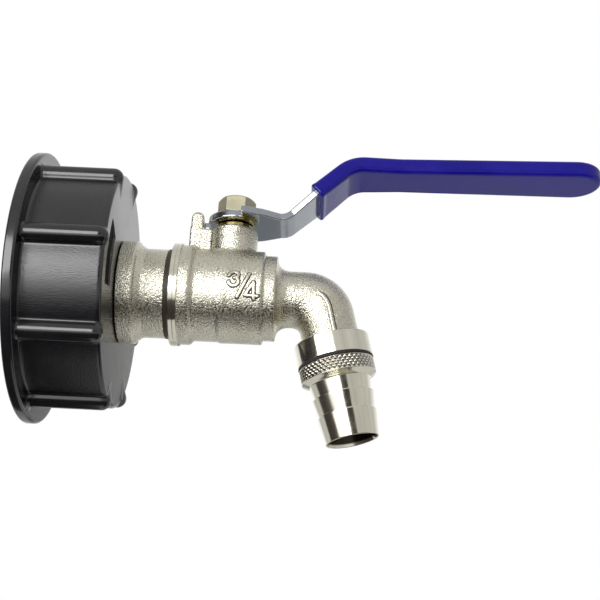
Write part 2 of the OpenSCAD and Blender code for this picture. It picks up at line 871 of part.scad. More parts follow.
function sleeve_half(s) = s <= round_from
    ? strip_half(s) + vinyl_t
    : sqrt(max(0.01, pow(end_out, 2) - pow(s - round_from, 2)));

module lever_sleeve() {
    thick = strip_t / 2 + vinyl_t;
    m = 16;
    n = len(sleeve_s) - 1;
    points = [for (s = sleeve_s) for (p = sleeve_section(sleeve_half(s), thick)) let (
            q = beside(s, p[1]))
        [q[0], p[0], q[1]]];
    sides = [for (i = [0:n - 1]) for (k = [0:m - 1]) let (
            a = m * i + k,
            b = m * i + (k + 1) % m)
        each [[a, b + m, b], [a, a + m, b + m]]];
    caps = [[for (k = [0:m - 1]) k], [for (k = [m - 1:-1:0]) m * n + k]];
    color([0.1, 0.08, 0.5])
        difference() {
            translate([stem_x, 0, lever_z + strip_t / 2])
                polyhedron(points = points, faces = concat(sides, caps), convexity = 6);
            strip();
        }
}

module spring_washer() {
    split = 0.8;
    color([0.75, 0.75, 0.74])
        translate([stem_x, 0, lever_top])
            difference() {
                ring(stem_thread_d / 2 + stem_gap, lock_washer_d / 2, lock_washer_t);
                rotate([0, 0, 120])
                    translate([0, -split / 2, -over])
                        cube([lock_washer_d, split, lock_washer_t + 2 * over]);
            }
}

// Hexagon nut with its corners turned off at both ends
module lever_nut() {
    corner = nut_flats / sqrt(3);
    face_in = 0.1;
    slope = 0.6;
    face = nut_flats / 2 - face_in;
    fall = (corner - face) * slope;
    color([0.72, 0.68, 0.56])
        translate([stem_x, 0, washer_top])
            difference() {
                intersection() {
                    cylinder(h = nut_h, r = corner, $fn = 6);
                    rotate_extrude()
                        polygon([[0, 0], [face, 0], [corner, fall / 2], [corner, nut_h - fall],
                            [face, nut_h], [0, nut_h]]);
                }
                translate([0, 0, -over])
                    cylinder(h = nut_h + 2 * over, r = stem_thread_d / 2 + stem_gap);
            }
}

// Screwed stub, knurled ring, bevel and three barbs, as [radius, distance from the elbow's corner]
module nozzle() {
    r_1 = barb_1_d / 2;
    r_2 = barb_2_d / 2;
    r_3 = barb_3_d / 2;
    color([0.8, 0.77, 0.7])
        along_spout()
            difference() {
                rotate_extrude()
                    polygon([[0, stub_low], [tail_thread_r - edge, stub_low],
                        [tail_thread_r, stub_low + edge], [tail_thread_r, knurl_start],
                        [collar_r - edge, knurl_start], [collar_r, knurl_start + edge],
                        [collar_r, knurl_end], [r_1, bevel_end],
                        [r_1 - barb_1_fall, barb_1_end], [r_2, barb_1_end],
                        [r_2 - barb_fall, barb_2_end], [r_3, barb_2_end],
                        [r_3 - barb_fall, tail_end], [0, tail_end]]);
                translate([0, 0, collar_start])
                    cylinder(h = tail_end - collar_start + over, r = tail_bore_r);
                translate([0, 0, tail_end - mouth_chamfer])
                    cylinder(h = mouth_chamfer + over, r1 = tail_bore_r,
                        r2 = tail_bore_r + mouth_chamfer + over);
            }
}

module nozzle_o_ring() {
    color([0.05, 0.05, 0.05])
        along_spout(collar_end)
            ring(tail_thread_r + thread_gap, collar_r + seal_proud, o_ring_t);
}

cap();
tank_gasket();
inlet_washer();
inlet_tail();
joint_seal();
body();
ball();
inlet_seat();
outlet_seat();
stem();
stem_thrust_washer();
packing_lower();
packing_upper();
gland_nut();
lever();
lever_sleeve();
spring_washer();
lever_nut();
nozzle();
nozzle_o_ring();
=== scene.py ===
"""Dresses the bulk container tap adapter: black screw cap, plated ball tap, blue sleeved lever and hose tail."""

import json
import logging
import math
from dataclasses import dataclass, field
from enum import Enum
from typing import Callable, Iterable, Sequence

import bmesh
import bpy
import numpy as np
from mathutils import Matrix, Vector

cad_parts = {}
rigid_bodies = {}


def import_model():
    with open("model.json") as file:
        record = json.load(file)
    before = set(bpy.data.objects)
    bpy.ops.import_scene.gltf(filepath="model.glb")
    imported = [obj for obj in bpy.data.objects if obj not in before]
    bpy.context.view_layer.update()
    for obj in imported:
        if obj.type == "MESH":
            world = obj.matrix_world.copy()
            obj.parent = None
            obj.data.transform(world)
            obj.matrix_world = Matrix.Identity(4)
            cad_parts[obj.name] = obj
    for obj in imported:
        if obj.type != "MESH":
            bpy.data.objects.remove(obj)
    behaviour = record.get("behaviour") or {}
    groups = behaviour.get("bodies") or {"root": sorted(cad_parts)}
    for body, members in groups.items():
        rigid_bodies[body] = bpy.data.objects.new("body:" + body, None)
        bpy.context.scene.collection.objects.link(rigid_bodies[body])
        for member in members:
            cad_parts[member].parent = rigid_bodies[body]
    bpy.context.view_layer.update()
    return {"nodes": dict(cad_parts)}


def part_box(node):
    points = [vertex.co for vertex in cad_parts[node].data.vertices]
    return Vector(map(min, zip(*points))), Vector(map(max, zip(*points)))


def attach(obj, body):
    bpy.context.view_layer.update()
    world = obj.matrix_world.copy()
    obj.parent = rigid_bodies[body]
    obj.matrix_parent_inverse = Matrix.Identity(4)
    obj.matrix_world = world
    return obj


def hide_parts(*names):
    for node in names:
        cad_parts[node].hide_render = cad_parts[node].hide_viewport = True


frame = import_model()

logging.basicConfig(level=logging.INFO, format="%(levelname)s %(message)s")
log = logging.getLogger("tap_adapter")

MM = 0.001
Points = np.ndarray
Field = Callable[[Points], Points]

# Places along the flow axis and up the stem, in millimetres, as in the solids
CAP_LEN = 25.8
FLANGE_X = 26.9
TUBE_X = 30.6
JOINT_X = 39.6
BODY_X = 41.0
STEM_X = 58.0
BARREL_END = 67.9
NOSE_END = 71.6
CORNER_X = 85.2
SPOUT_TILT = math.radians(14)
THREAD_R = 13.2
NECK_TOP = 20.7
LEVER_Z = 22.5
LEVER_T = 2.1


# distance fields


def smooth_min(a: Points, b: Points, k: float) -> Points:
    """Joins two distance fields with a fillet.

    Args:
        a: First field.
        b: Second field.
        k: Width of the fillet in millimetres.

    Returns:
        The joined field.
    """
    h = np.clip(0.5 + 0.5 * (b - a) / k, 0, 1)
    return b * (1 - h) + a * h - k * h * (1 - h)


def smooth_max(a: Points, b: Points, k: float) -> Points:
    """Cuts two distance fields against each other with a rounded edge as wide as k."""
    return -smooth_min(-a, -b, k)


def slab(across: Points, along: Points, radius: float, low: float, high: float, edge: float) -> Points:
    """Distance to a disc or bar with rounded edges.

    Args:
        across: Distance from the axis.
        along: Place along the axis.
        radius: Outer radius.
        low: Start along the axis.
        high: End along the axis.
        edge: Radius of the edges.

    Returns:
        The field of the disc.
    """
    dx = across - radius + edge
    dy = np.abs(along - (low + high) / 2) - (high - low) / 2 + edge
    outside = np.hypot(np.maximum(dx, 0), np.maximum(dy, 0))
    return outside + np.minimum(np.maximum(dx, dy), 0) - edge


def stroke(p: Points, a: Sequence[float], b: Sequence[float]) -> Points:
    """Distance of plane points to the line from a to b."""
    ab = np.subtract(b, a)
    t = np.clip(((p - a) @ ab) / max(float(ab @ ab), 1e-9), 0, 1)
    return np.linalg.norm(p - (np.array(a) + t[..., None] * ab), axis=-1)


def round_cone(across: Points, along: Points, r1: float, r2: float, h: float) -> Points:
    """Distance to a cone with round ends.

    Args:
        across: Distance from the cone's axis.
        along: Place along the axis, from the larger end.
        r1: Radius of the end at zero.
        r2: Radius of the end at h.
        h: Distance between the two ends' centres.

    Returns:
        The field of the cone.
    """
    b = (r1 - r2) / h
    a = math.sqrt(1 - b * b)
    k = -across * b + along * a
    low = np.hypot(across, along) - r1
    high = np.hypot(across, along - h) - r2
    side = across * a + along * b - r1
    return np.where(k < 0, low, np.where(k > a * h, high, side))


# mesh tools


@dataclass
class NetGrid:
    """A regular grid on which a distance field is sampled, in grid coordinates."""

    low: tuple[float, float, float]
    high: tuple[float, float, float]
    step: tuple[float, float, float]
    wrap: bool = False

    def axes(self) -> list[Points]:
        """The sample places along the three axes."""
        out = []
        for i in range(3):
            n = int(round((self.high[i] - self.low[i]) / self.step[i]))
            closed = self.wrap and i == 1
            out.append(self.low[i] + (self.high[i] - self.low[i]) / n * np.arange(n if closed else n + 1))
        return out


class FieldMesher:
    """Turns a distance field into a closed mesh of quads whose points lie on its zero surface."""

    CORNERS = [(i, j, k) for i in (0, 1) for j in (0, 1) for k in (0, 1)]

    def __init__(self, grid: NetGrid, shape: Field) -> None:
        """Keeps the grid and the field.

        Args:
            grid: Where the field is sampled.
            shape: The field, which takes points with three coordinates in the last place.
        """
        self.grid = grid
        self.shape = shape

    def _values(self, axes: list[Points]) -> Points:
        """Samples the field slice by slice, with one more slice where the grid closes on itself."""
        rows = []
        for x in axes[0]:
            plane = np.stack(np.broadcast_arrays(x, axes[1][:, None], axes[2][None, :]), -1)
            rows.append(self.shape(plane))
        values = np.array(rows)
        return np.concatenate([values, values[:, :1]], 1) if self.grid.wrap else values

    def mesh(self) -> tuple[Points, Points]:
        """Builds the mesh.

        Returns:
            Points in grid coordinates, and quads as rows of four indices.
        """
        axes = self.grid.axes()
        values = self._values(axes)
        inside = values < 0
        count = np.zeros(tuple(n - 1 for n in values.shape), int)
        for i, j, k in self.CORNERS:
            count += inside[i: inside.shape[0] - 1 + i, j: inside.shape[1] - 1 + j, k: inside.shape[2] - 1 + k]
        cells = np.argwhere((count > 0) & (count < 8))
        index = np.full(count.shape, -1)
        index[tuple(cells.T)] = np.arange(len(cells))
        total = np.zeros((len(cells), 3))
        hits = np.zeros(len(cells))
        for a in self.CORNERS:
            for axis in range(3):
                if a[axis] == 1:
                    continue
                b = tuple(a[n] + (n == axis) for n in range(3))
                va = values[tuple((cells + a).T)]
                vb = values[tuple((cells + b).T)]
                cross = (va < 0) != (vb < 0)
                t = np.where(cross, va / np.where(va == vb, 1, va - vb), 0)
                total += cross[:, None] * (np.array(a) + t[:, None] * np.subtract(b, a))
                hits += cross
        steps = [ax[1] - ax[0] for ax in axes]
        points = np.array(self.grid.low) + (cells + total / hits[:, None]) * steps
        quads = self._quads(inside, index)
        return self._settle(points, steps), quads

    def _quads(self, inside: Points, index: Points) -> Points:
        """Joins the four cells round each grid line that crosses the surface."""
        rows = []
        for axis in range(3):
            b, c = [(1, 2), (2, 0), (0, 1)][axis]
            near = [slice(None)] * 3
            far = [slice(None)] * 3
            near[axis] = slice(0, -1)
            far[axis] = slice(1, None)
            one, two = inside[tuple(near)], inside[tuple(far)]
            places = np.argwhere(one != two)
            for n in (b, c):
                if self.grid.wrap and n == 1:
                    places = places[places[:, n] < index.shape[1]]
                else:
                    places = places[(places[:, n] > 0) & (places[:, n] < index.shape[n])]
            flip = two[tuple(places.T)]
            ring = []
            for db, dc in ((-1, -1), (0, -1), (0, 0), (-1, 0)):
                at = places.copy()
                at[:, b] += db
                at[:, c] += dc
                if self.grid.wrap:
                    at[:, 1] %= index.shape[1]
                ring.append(index[tuple(at.T)])
            quad = np.stack(ring, 1)
            quad[flip] = quad[flip][:, ::-1]
            rows.append(quad)
        return np.concatenate(rows)

    def _settle(self, points: Points, steps: Sequence[float]) -> Points:
        """Slides the points along the field's slope until they lie on the surface."""
        reach = 0.6 * min(steps)
        eps = 0.01
        for _ in range(4):
            value = self.shape(points)
            slope = np.stack([(self.shape(points + d) - self.shape(points - d)) / (2 * eps) for d in np.eye(3) * eps], 1)
            size = np.maximum((slope ** 2).sum(1), 0.05)
            move = -(value / size)[:, None] * slope
            length = np.linalg.norm(move, axis=1)
            points = points + move * np.minimum(1, reach / np.maximum(length, 1e-9))[:, None]
        return points


def mesh_object(name: str, points: Points, faces: Iterable[Sequence[int]], smooth: bool = True) -> bpy.types.Object:
    """Makes an object from points in millimetres.

    Args:
        name: Name of the piece.
        points: Its points.
        faces: Its faces as rows of indices.
        smooth: Whether the faces are shaded smooth.

    Returns:
        The object, linked to the scene.
    """
    mesh = bpy.data.meshes.new(name)
    mesh.from_pydata((np.asarray(points) * MM).tolist(), [], [tuple(int(i) for i in f) for f in faces])
    mesh.update()
    mesh.polygons.foreach_set("use_smooth", [smooth] * len(mesh.polygons))
    obj = bpy.data.objects.new(name, mesh)
    bpy.context.scene.collection.objects.link(obj)
    return obj


def face_outwards(obj: bpy.types.Object) -> None:
    """Turns all faces of a closed mesh outwards."""
    bm = bmesh.new()
    bm.from_mesh(obj.data)
    bmesh.ops.recalc_face_normals(bm, faces=bm.faces)
    bm.to_mesh(obj.data)
    bm.free()


def rounded(profile: Sequence[tuple[float, float, float]], closed: bool = True, arc: int = 4) -> list[tuple[float, float]]:
    """Rounds the corners of a turned outline.

    Args:
        profile: Corners as radius, place along the axis and rounding.
        closed: Whether the outline closes on itself.
        arc: Steps in each rounded corner.

    Returns:
        The outline's points, with a support point beside each corner.
    """
    n = len(profile)
    out: list[tuple[float, float]] = []
    for i, (r, x, size) in enumerate(profile):
        here = np.array([r, x])
        if size <= 0 or (not closed and i in (0, n - 1)):
            out.append((r, x))
            continue
        before = np.array(profile[i - 1][:2]) - here
        after = np.array(profile[(i + 1) % n][:2]) - here
        u, v = before / np.linalg.norm(before), after / np.linalg.norm(after)
        half = math.acos(float(np.clip(u @ v, -1, 1))) / 2
        run = min(size / math.tan(half), 0.45 * np.linalg.norm(before), 0.45 * np.linalg.norm(after))
        radius = run * math.tan(half)
        middle = here + (u + v) / np.linalg.norm(u + v) * (radius / math.sin(half))
        start, end = here + u * run, here + v * run
        out.append(tuple(start + u * min(0.05, 0.04 * np.linalg.norm(before))))
        for k in range(arc + 1):
            p = start + (end - start) * k / arc - middle
            out.append(tuple(middle + p / np.linalg.norm(p) * radius))
        out.append(tuple(end + v * min(0.05, 0.04 * np.linalg.norm(after))))
    return out


class Axis(Enum):
    """The line that a turned piece is made about."""

    FLOW = "flow"
    STEM = "stem"
    SPOUT = "spout"

    def place(self, across: Points, side: Points, along: Points) -> Points:
        """Puts points given beside and along the axis into the frame.

        Args:
            across: Distance towards the axis's first side.
            side: Distance towards its second side, along Y.
            along: Distance along the axis.

        Returns:
            The points in millimetres.
        """
        across, side, along = np.broadcast_arrays(across, side, along)
        if self is Axis.FLOW:
            return np.stack([along, side, -across], -1)
        if self is Axis.STEM:
            return np.stack([STEM_X + across, side, along], -1)
        c, s = math.cos(SPOUT_TILT), math.sin(SPOUT_TILT)
        return np.stack([CORNER_X + across * c + along * s, side, across * s - along * c], -1)


def turned(name: str, axis: Axis, outline: Sequence[tuple[float, float]], steps: int = 160,
           relief: Callable[[Points, Points, Points], Points] | None = None) -> bpy.types.Object:
    """Makes a closed turned piece.

    Args:
        name: Name of the piece.
        axis: The line it is turned about.
        outline: Closed outline as radius and place along the axis.
        steps: Steps round the axis.
        relief: Takes radius, angle and place and gives a new radius.

    Returns:
        The piece.
    """
    pts = np.array(outline, float)
    angle = np.arange(steps) * 2 * math.pi / steps
    r = np.repeat(pts[:, 0][:, None], steps, 1)
    s = np.repeat(pts[:, 1][:, None], steps, 1)
    a = np.repeat(angle[None, :], len(pts), 0)
    if relief is not None:
        r = relief(r, a, s)
    places = axis.place(r * np.cos(a), r * np.sin(a), s).reshape(-1, 3)
    n = len(pts)
    i = np.arange(n)[:, None]
    j = np.arange(steps)[None, :]
    quads = np.stack([i * steps + j, i * steps + (j + 1) % steps, (i + 1) % n * steps + (j + 1) % steps,
                      (i + 1) % n * steps + j], -1).reshape(-1, 4)
    obj = mesh_object(name, places, quads)
    face_outwards(obj)
    return obj


# shader tools


class Nodes:
    """Short calls for building a node tree."""

    def __init__(self, tree: bpy.types.NodeTree) -> None:
        """Keeps the tree."""
        self.tree = tree

    def add(self, kind: str, inputs: dict | None = None, **settings) -> bpy.types.Node:
        """Adds a node.

        Args:
            kind: Blender's name of the node.
            inputs: Socket name or number to a value or to another socket.
            **settings: Properties of the node.

        Returns:
            The node.
        """
        node = self.tree.nodes.new(kind)
        for key, value in settings.items():
            setattr(node, key, value)
        for key, value in (inputs or {}).items():
            self.put(node, key, value)
        return node

    def put(self, node: bpy.types.Node, key: str | int, value: object) -> None:
        """Sets or links one input of a node."""
        if isinstance(value, bpy.types.NodeSocket):
            self.tree.links.new(value, node.inputs[key])
        else:
            node.inputs[key].default_value = value

    def math(self, operation: str, a: object, b: object = 0.0, clamp: bool = False) -> bpy.types.NodeSocket:
        """Adds a math node and gives its result."""
        return self.add("ShaderNodeMath", {0: a, 1: b}, operation=operation, use_clamp=clamp).outputs[0]

    def ramp(self, value: bpy.types.NodeSocket, low: float, high: float) -> bpy.types.NodeSocket:
        """Maps a value from low..high onto 0..1 smoothly."""
        node = self.add("ShaderNodeMapRange", {"Value": value, "From Min": low, "From Max": high},
                        interpolation_type="SMOOTHSTEP")
        return node.outputs["Result"]

    def mix(self, factor: object, a: object, b: object) -> bpy.types.NodeSocket:
        """Mixes two colours."""
        node = self.add("ShaderNodeMix", data_type="RGBA")
        self.put(node, 0, factor)
        self.put(node, 6, a)
        self.put(node, 7, b)
        return node.outputs[2]


def new_group(name: str, inputs: Sequence[tuple[str, str, object]], outputs: Sequence[tuple[str, str]]
              ) -> tuple[bpy.types.NodeTree, Nodes, bpy.types.Node, bpy.types.Node]:
    """Makes an empty shader group.

    Args:
        name: Name of the group.
        inputs: Socket name, kind and default value.
        outputs: Socket name and kind.

    Returns:
        The group, its node maker, its input node and its output node.
    """
    tree = bpy.data.node_groups.new(name, "ShaderNodeTree")
    for label, kind, value in inputs:
        socket = tree.interface.new_socket(name=label, in_out="INPUT", socket_type=kind)
        if value is not None:
            socket.default_value = value
    for label, kind in outputs:
        tree.interface.new_socket(name=label, in_out="OUTPUT", socket_type=kind)
    nodes = Nodes(tree)
    return tree, nodes, nodes.add("NodeGroupInput"), nodes.add("NodeGroupOutput")


FLOAT, COLOUR, VECTOR = "NodeSocketFloat", "NodeSocketColor", "NodeSocketVector"


class Effects:
    """The shader groups that several finishes share."""

    def __init__(self) -> None:
        """Builds each group once."""
        self.blast = self._blast()
        self.grime = self._grime()
        self.turning = self._turning()

    @staticmethod
    def _blast() -> bpy.types.NodeTree:
        """Fine facets of a shot blasted or grained surface: height, and specks from 0 to 1."""
        tree, n, start, end = new_group("fine facets", [("Scale", FLOAT, 2500.0), ("Unevenness", FLOAT, 0.5)],
                                        [("Height", FLOAT), ("Specks", FLOAT), ("Pits", FLOAT)])
        where = n.add("ShaderNodeTexCoord").outputs["Object"]
        cells = n.add("ShaderNodeTexVoronoi", {"Vector": where, "Scale": start.outputs["Scale"]}, feature="SMOOTH_F1")
        cells.inputs["Smoothness"].default_value = 0.2
        grain = n.add("ShaderNodeTexNoise", {"Vector": where, "Scale": n.math("MULTIPLY", start.outputs["Scale"], 0.62)})
        grain.inputs["Detail"].default_value = 3.0
        uneven = n.math("MULTIPLY", grain.outputs["Fac"], start.outputs["Unevenness"])
        height = n.math("ADD", n.math("MULTIPLY", cells.outputs["Distance"], -0.8), uneven)
        n.put(end, "Height", height)
        n.put(end, "Specks", n.ramp(grain.outputs["Fac"], 0.42, 0.66))
        n.put(end, "Pits", n.math("MULTIPLY", n.ramp(grain.outputs["Fac"], 0.52, 0.34), n.ramp(cells.outputs["Distance"], 0.7, 0.2)))
        return tree

    @staticmethod
    def _grime() -> bpy.types.NodeTree:
        """Handling marks: soft cloudy patches and sparse fine scratches, each from 0 to 1."""
        tree, n, start, end = new_group("handling marks", [("Patch scale", FLOAT, 60.0), ("Scratch scale", FLOAT, 300.0)],
                                        [("Patches", FLOAT), ("Scratches", FLOAT)])
        where = n.add("ShaderNodeTexCoord").outputs["Object"]
        cloud = n.add("ShaderNodeTexNoise", {"Vector": where, "Scale": start.outputs["Patch scale"]})
        cloud.inputs["Detail"].default_value = 5.0
        cloud.inputs["Roughness"].default_value = 0.6
        n.put(end, "Patches", n.ramp(cloud.outputs["Fac"], 0.4, 0.68))
        stretch = n.add("ShaderNodeMapping", {"Vector": where})
        stretch.inputs["Scale"].default_value = (0.12, 1.0, 1.0)
        stretch.inputs["Rotation"].default_value = (0.4, 0.9, 0.3)
        lines = n.add("ShaderNodeTexNoise", {"Vector": stretch.outputs[0], "Scale": start.outputs["Scratch scale"]})
        lines.inputs["Detail"].default_value = 4.0
        n.put(end, "Scratches", n.ramp(lines.outputs["Fac"], 0.66, 0.72))
        return tree

    @staticmethod
    def _turning() -> bpy.types.NodeTree:
        """Fine tool lines square to an axis, given by the place along it."""
        tree, n, start, end = new_group("tool lines", [("Along", FLOAT, 0.0), ("Pitch", FLOAT, 4000.0)], [("Height", FLOAT)])
        line = n.add("ShaderNodeTexNoise", {"W": start.outputs["Along"], "Scale": start.outputs["Pitch"]},
                     noise_dimensions="1D")
        line.inputs["Detail"].default_value = 3.0
        n.put(end, "Height", line.outputs["Fac"])
        return tree

    def place(self, nodes: Nodes, group: bpy.types.NodeTree, inputs: dict | None = None) -> bpy.types.Node:
        """Adds one of the groups to a material."""
        return nodes.add("ShaderNodeGroup", inputs, node_tree=group)


def new_material(name: str, **surface) -> tuple[bpy.types.Material, Nodes, bpy.types.Node]:
    """Makes a material with one Principled BSDF.

    Args:
        name: Name of the material.
        **surface: Values of the shader's own sockets, with spaces written as underscores.

    Returns:
        The material, its node maker and its shader.
    """
    material = bpy.data.materials.new(name)
    material.use_nodes = True
    material.node_tree.nodes.clear()
    n = Nodes(material.node_tree)
    shader = n.add("ShaderNodeBsdfPrincipled")
    for key, value in surface.items():
        shader.inputs[key.replace("_", " ")].default_value = value
    n.add("ShaderNodeOutputMaterial", {"Surface": shader.outputs[0]})
    return material, n, shader


@dataclass(frozen=True)
class BlastedNickel:
    """Nickel plate on a shot blasted casting."""

    light: tuple = (0.78, 0.755, 0.645, 1)
    dark: tuple = (0.6, 0.565, 0.45, 1)
    pits: tuple = (0.2, 0.165, 0.115, 1)
    roughness: float = 0.23
    facet_scale: float = 2500.0
    facet_depth: float = 0.00013
    label: str = "blasted nickel"
    # foot: darkens the colour where the mesh's foot attribute is high, a painted shade at the feet of raised marks and
    # in grooves.
    foot: bool = False

    def material(self, fx: Effects) -> bpy.types.Material:
        """Builds the material."""
        mat, n, bsdf = new_material(self.label, Metallic=1.0)
        facets = fx.place(n, fx.blast, {"Scale": self.facet_scale, "Unevenness": 0.7})
        marks = fx.place(n, fx.grime, {"Patch scale": 70.0, "Scratch scale": 500.0})
        plate = n.mix(n.math("MULTIPLY", marks.outputs["Patches"], 0.5), self.light, self.dark)
        plate = n.mix(n.math("MULTIPLY", facets.outputs["Pits"], 0.5), plate, self.pits)
        if self.foot:
            # Painted shade: the colour goes near black where the foot attribute is high.
            low = n.add("ShaderNodeAttribute", attribute_name="foot").outputs["Fac"]
            plate = n.mix(n.ramp(low, 0.25, 0.8), plate, (0.07, 0.06, 0.045, 1))
        n.put(bsdf, "Base Color", plate)
        rough = n.math("ADD", n.math("MULTIPLY", facets.outputs["Specks"], 0.12), self.roughness)
        n.put(bsdf, "Roughness", rough)
        bump = n.add("ShaderNodeBump", {"Height": facets.outputs["Height"], "Strength": 1.0, "Distance": self.facet_depth})
        n.put(bsdf, "Normal", bump.outputs[0])
        return mat


@dataclass(frozen=True)
class TurnedNickel:
    """Bright nickel plate on a turned face."""

    colour: tuple = (0.83, 0.805, 0.7, 1)
    roughness: float = 0.12
    along: tuple = (1.0, 0.0, 0.0)
    label: str = "turned nickel"
    # foot: darkens the colour where the mesh's foot attribute is high, a painted shade in grooves and bores.
    foot: bool = False

    def material(self, fx: Effects) -> bpy.types.Material:
        """Builds the material."""
        mat, n, bsdf = new_material(self.label, Metallic=1.0)
        where = n.add("ShaderNodeTexCoord").outputs["Object"]
        along = n.add("ShaderNodeVectorMath", {0: where, 1: self.along}, operation="DOT_PRODUCT").outputs["Value"]
        lines = fx.place(n, fx.turning, {"Along": along, "Pitch": 5200.0})
        marks = fx.place(n, fx.grime, {"Patch scale": 90.0, "Scratch scale": 420.0})
        plate = n.mix(n.math("MULTIPLY", marks.outputs["Patches"], 0.25), self.colour,
                      tuple(0.82 * c for c in self.colour[:3]) + (1,))
        if self.foot:
            # Painted shade: the colour goes near black where the foot attribute is high.
            painted_shade = n.add("ShaderNodeAttribute", attribute_name="foot").outputs["Fac"]
            plate = n.mix(n.ramp(painted_shade, 0.45, 1.0), plate, (0.035, 0.03, 0.022, 1))
        n.put(bsdf, "Base Color", plate)
        n.put(bsdf, "Roughness", n.math("ADD", n.math("MULTIPLY", marks.outputs["Patches"], 0.07), self.roughness))
        bump = n.add("ShaderNodeBump", {"Height": lines.outputs["Height"], "Strength": 0.35, "Distance": 0.00001})
        n.put(bsdf, "Normal", bump.outputs[0])
        return mat


@dataclass(frozen=True)
class MouldedBlack:
    """Black moulded plastic, smooth on the ribs and grained between them."""

    colour: tuple = (0.004, 0.004, 0.006, 1)
    roughness: float = 0.16
    ior: float = 1.72
    specular: float = 0.5
    label: str = "moulded black"
    grain_scale: float = 3100.0
    grain_depth: float = 0.00005

    def material(self, fx: Effects) -> bpy.types.Material:
        """Builds the material."""
        mat, n, bsdf = new_material(self.label, IOR=self.ior, Specular_IOR_Level=self.specular)
        facets = fx.place(n, fx.blast, {"Scale": self.grain_scale, "Unevenness": 0.7})
        marks = fx.place(n, fx.grime, {"Patch scale": 45.0, "Scratch scale": 260.0})
        n.put(bsdf, "Base Color", n.mix(n.math("MULTIPLY", marks.outputs["Patches"], 0.4), self.colour,
                                        (0.011, 0.011, 0.0145, 1)))
        smooth = n.add("ShaderNodeAttribute", attribute_name="smooth_zone").outputs["Fac"]
        grained = n.math("SUBTRACT", 1.0, smooth, clamp=True)
        rough = n.math("ADD", n.math("MULTIPLY", marks.outputs["Patches"], 0.08), self.roughness)
        n.put(bsdf, "Roughness", n.math("ADD", rough, n.math("MULTIPLY", grained, 0.06)))
        height = n.math("MULTIPLY", facets.outputs["Height"], n.math("ADD", n.math("MULTIPLY", grained, 0.9), 0.1))
        bump = n.add("ShaderNodeBump", {"Height": height, "Strength": 1.0, "Distance": self.grain_depth})
        n.put(bsdf, "Normal", bump.outputs[0])
        return mat


@dataclass(frozen=True)
class Plain:
    """A finish with soft patches, a fine grain and one base colour."""

    label: str
    colour: tuple
    other: tuple
    roughness: float
    metallic: float = 0.0
    ior: float = 1.5
    grain_scale: float = 1800.0
    grain_depth: float = 0.00002

    def material(self, fx: Effects) -> bpy.types.Material:
        """Builds the material."""
        mat, n, bsdf = new_material(self.label, Metallic=self.metallic, IOR=self.ior)
        facets = fx.place(n, fx.blast, {"Scale": self.grain_scale, "Unevenness": 0.5})
        marks = fx.place(n, fx.grime, {"Patch scale": 80.0, "Scratch scale": 350.0})
        n.put(bsdf, "Base Color", n.mix(marks.outputs["Patches"], self.colour, self.other))
        n.put(bsdf, "Roughness", n.math("ADD", n.math("MULTIPLY", marks.outputs["Patches"], 0.1), self.roughness))
        bump = n.add("ShaderNodeBump", {"Height": facets.outputs["Height"], "Strength": 0.6, "Distance": self.grain_depth})
        n.put(bsdf, "Normal", bump.outputs[0])
        return mat


def dress(obj: bpy.types.Object, material: bpy.types.Material) -> None:
    """Gives an object one material."""
    if obj.data.materials:
        for i in range(len(obj.data.materials)):
            obj.data.materials[i] = material
    else:
        obj.data.materials.append(material)


@dataclass
class Finishes:
    """Every finish of the object, built once."""

    fx: Effects = field(default_factory=Effects)
    blasted: bpy.types.Material = None
    raised: bpy.types.Material = None
    turned_flow: bpy.types.Material = None
    turned_spout: bpy.types.Material = None
    turned_tail: bpy.types.Material = None
    black: bpy.types.Material = None
    black_dull: bpy.types.Material = None
    rubber: bpy.types.Material = None
    sealant: bpy.types.Material = None
    brass: bpy.types.Material = None
    ball: bpy.types.Material = None
    seat: bpy.types.Material = None
    zinc: bpy.types.Material = None
    nut: bpy.types.Material = None
    vinyl: bpy.types.Material = None

    def __post_init__(self) -> None:
        """Builds the materials."""
        fx = self.fx
        down = (math.sin(SPOUT_TILT), 0.0, -math.cos(SPOUT_TILT))
        self.blasted = BlastedNickel().material(fx)
        self.raised = BlastedNickel(roughness=0.2, facet_depth=0.00005, label="rubbed nickel", foot=True).material(fx)
        self.turned_flow = TurnedNickel(label="turned nickel along the flow").material(fx)
        self.turned_spout = TurnedNickel(along=down, label="turned nickel along the spout").material(fx)
        self.turned_tail = TurnedNickel(along=down, label="turned nickel of the hose tail", foot=True).material(fx)
        self.black = MouldedBlack().material(fx)
        self.black_dull = MouldedBlack(roughness=0.6, specular=0.03, label="moulded black of the sunk panel").material(fx)
        self.rubber = Plain("black rubber", (0.012, 0.012, 0.012, 1), (0.03, 0.03, 0.03, 1), 0.62).material(fx)
        self.sealant = Plain("brown sealant", (0.03, 0.02, 0.01, 1), (0.06, 0.042, 0.024, 1), 0.45).material(fx)
        self.brass = Plain("turned brass", (0.76, 0.62, 0.22, 1), (0.62, 0.47, 0.16, 1), 0.1, 1.0, grain_depth=0.000006).material(fx)
        self.ball = Plain("chromed ball", (0.8, 0.8, 0.81, 1), (0.7, 0.7, 0.71, 1), 0.07, 1.0, grain_depth=0.000002).material(fx)
        self.seat = Plain("white seat", (0.86, 0.86, 0.83, 1), (0.78, 0.78, 0.75, 1), 0.5).material(fx)
        self.zinc = Plain("bright zinc", (0.48, 0.505, 0.56, 1), (0.4, 0.42, 0.47, 1), 0.1, 1.0, grain_depth=0.000008).material(fx)
        self.nut = Plain("yellow zinc", (0.5, 0.47, 0.33, 1), (0.4, 0.375, 0.27, 1), 0.4, 1.0, grain_depth=0.00002).material(fx)
        self.vinyl = Plain("blue vinyl", (0.006, 0.003, 0.2, 1), (0.009, 0.005, 0.235, 1), 0.12, ior=1.36,
                           grain_scale=500.0, grain_depth=0.00001).material(fx)


# sub-assemblies


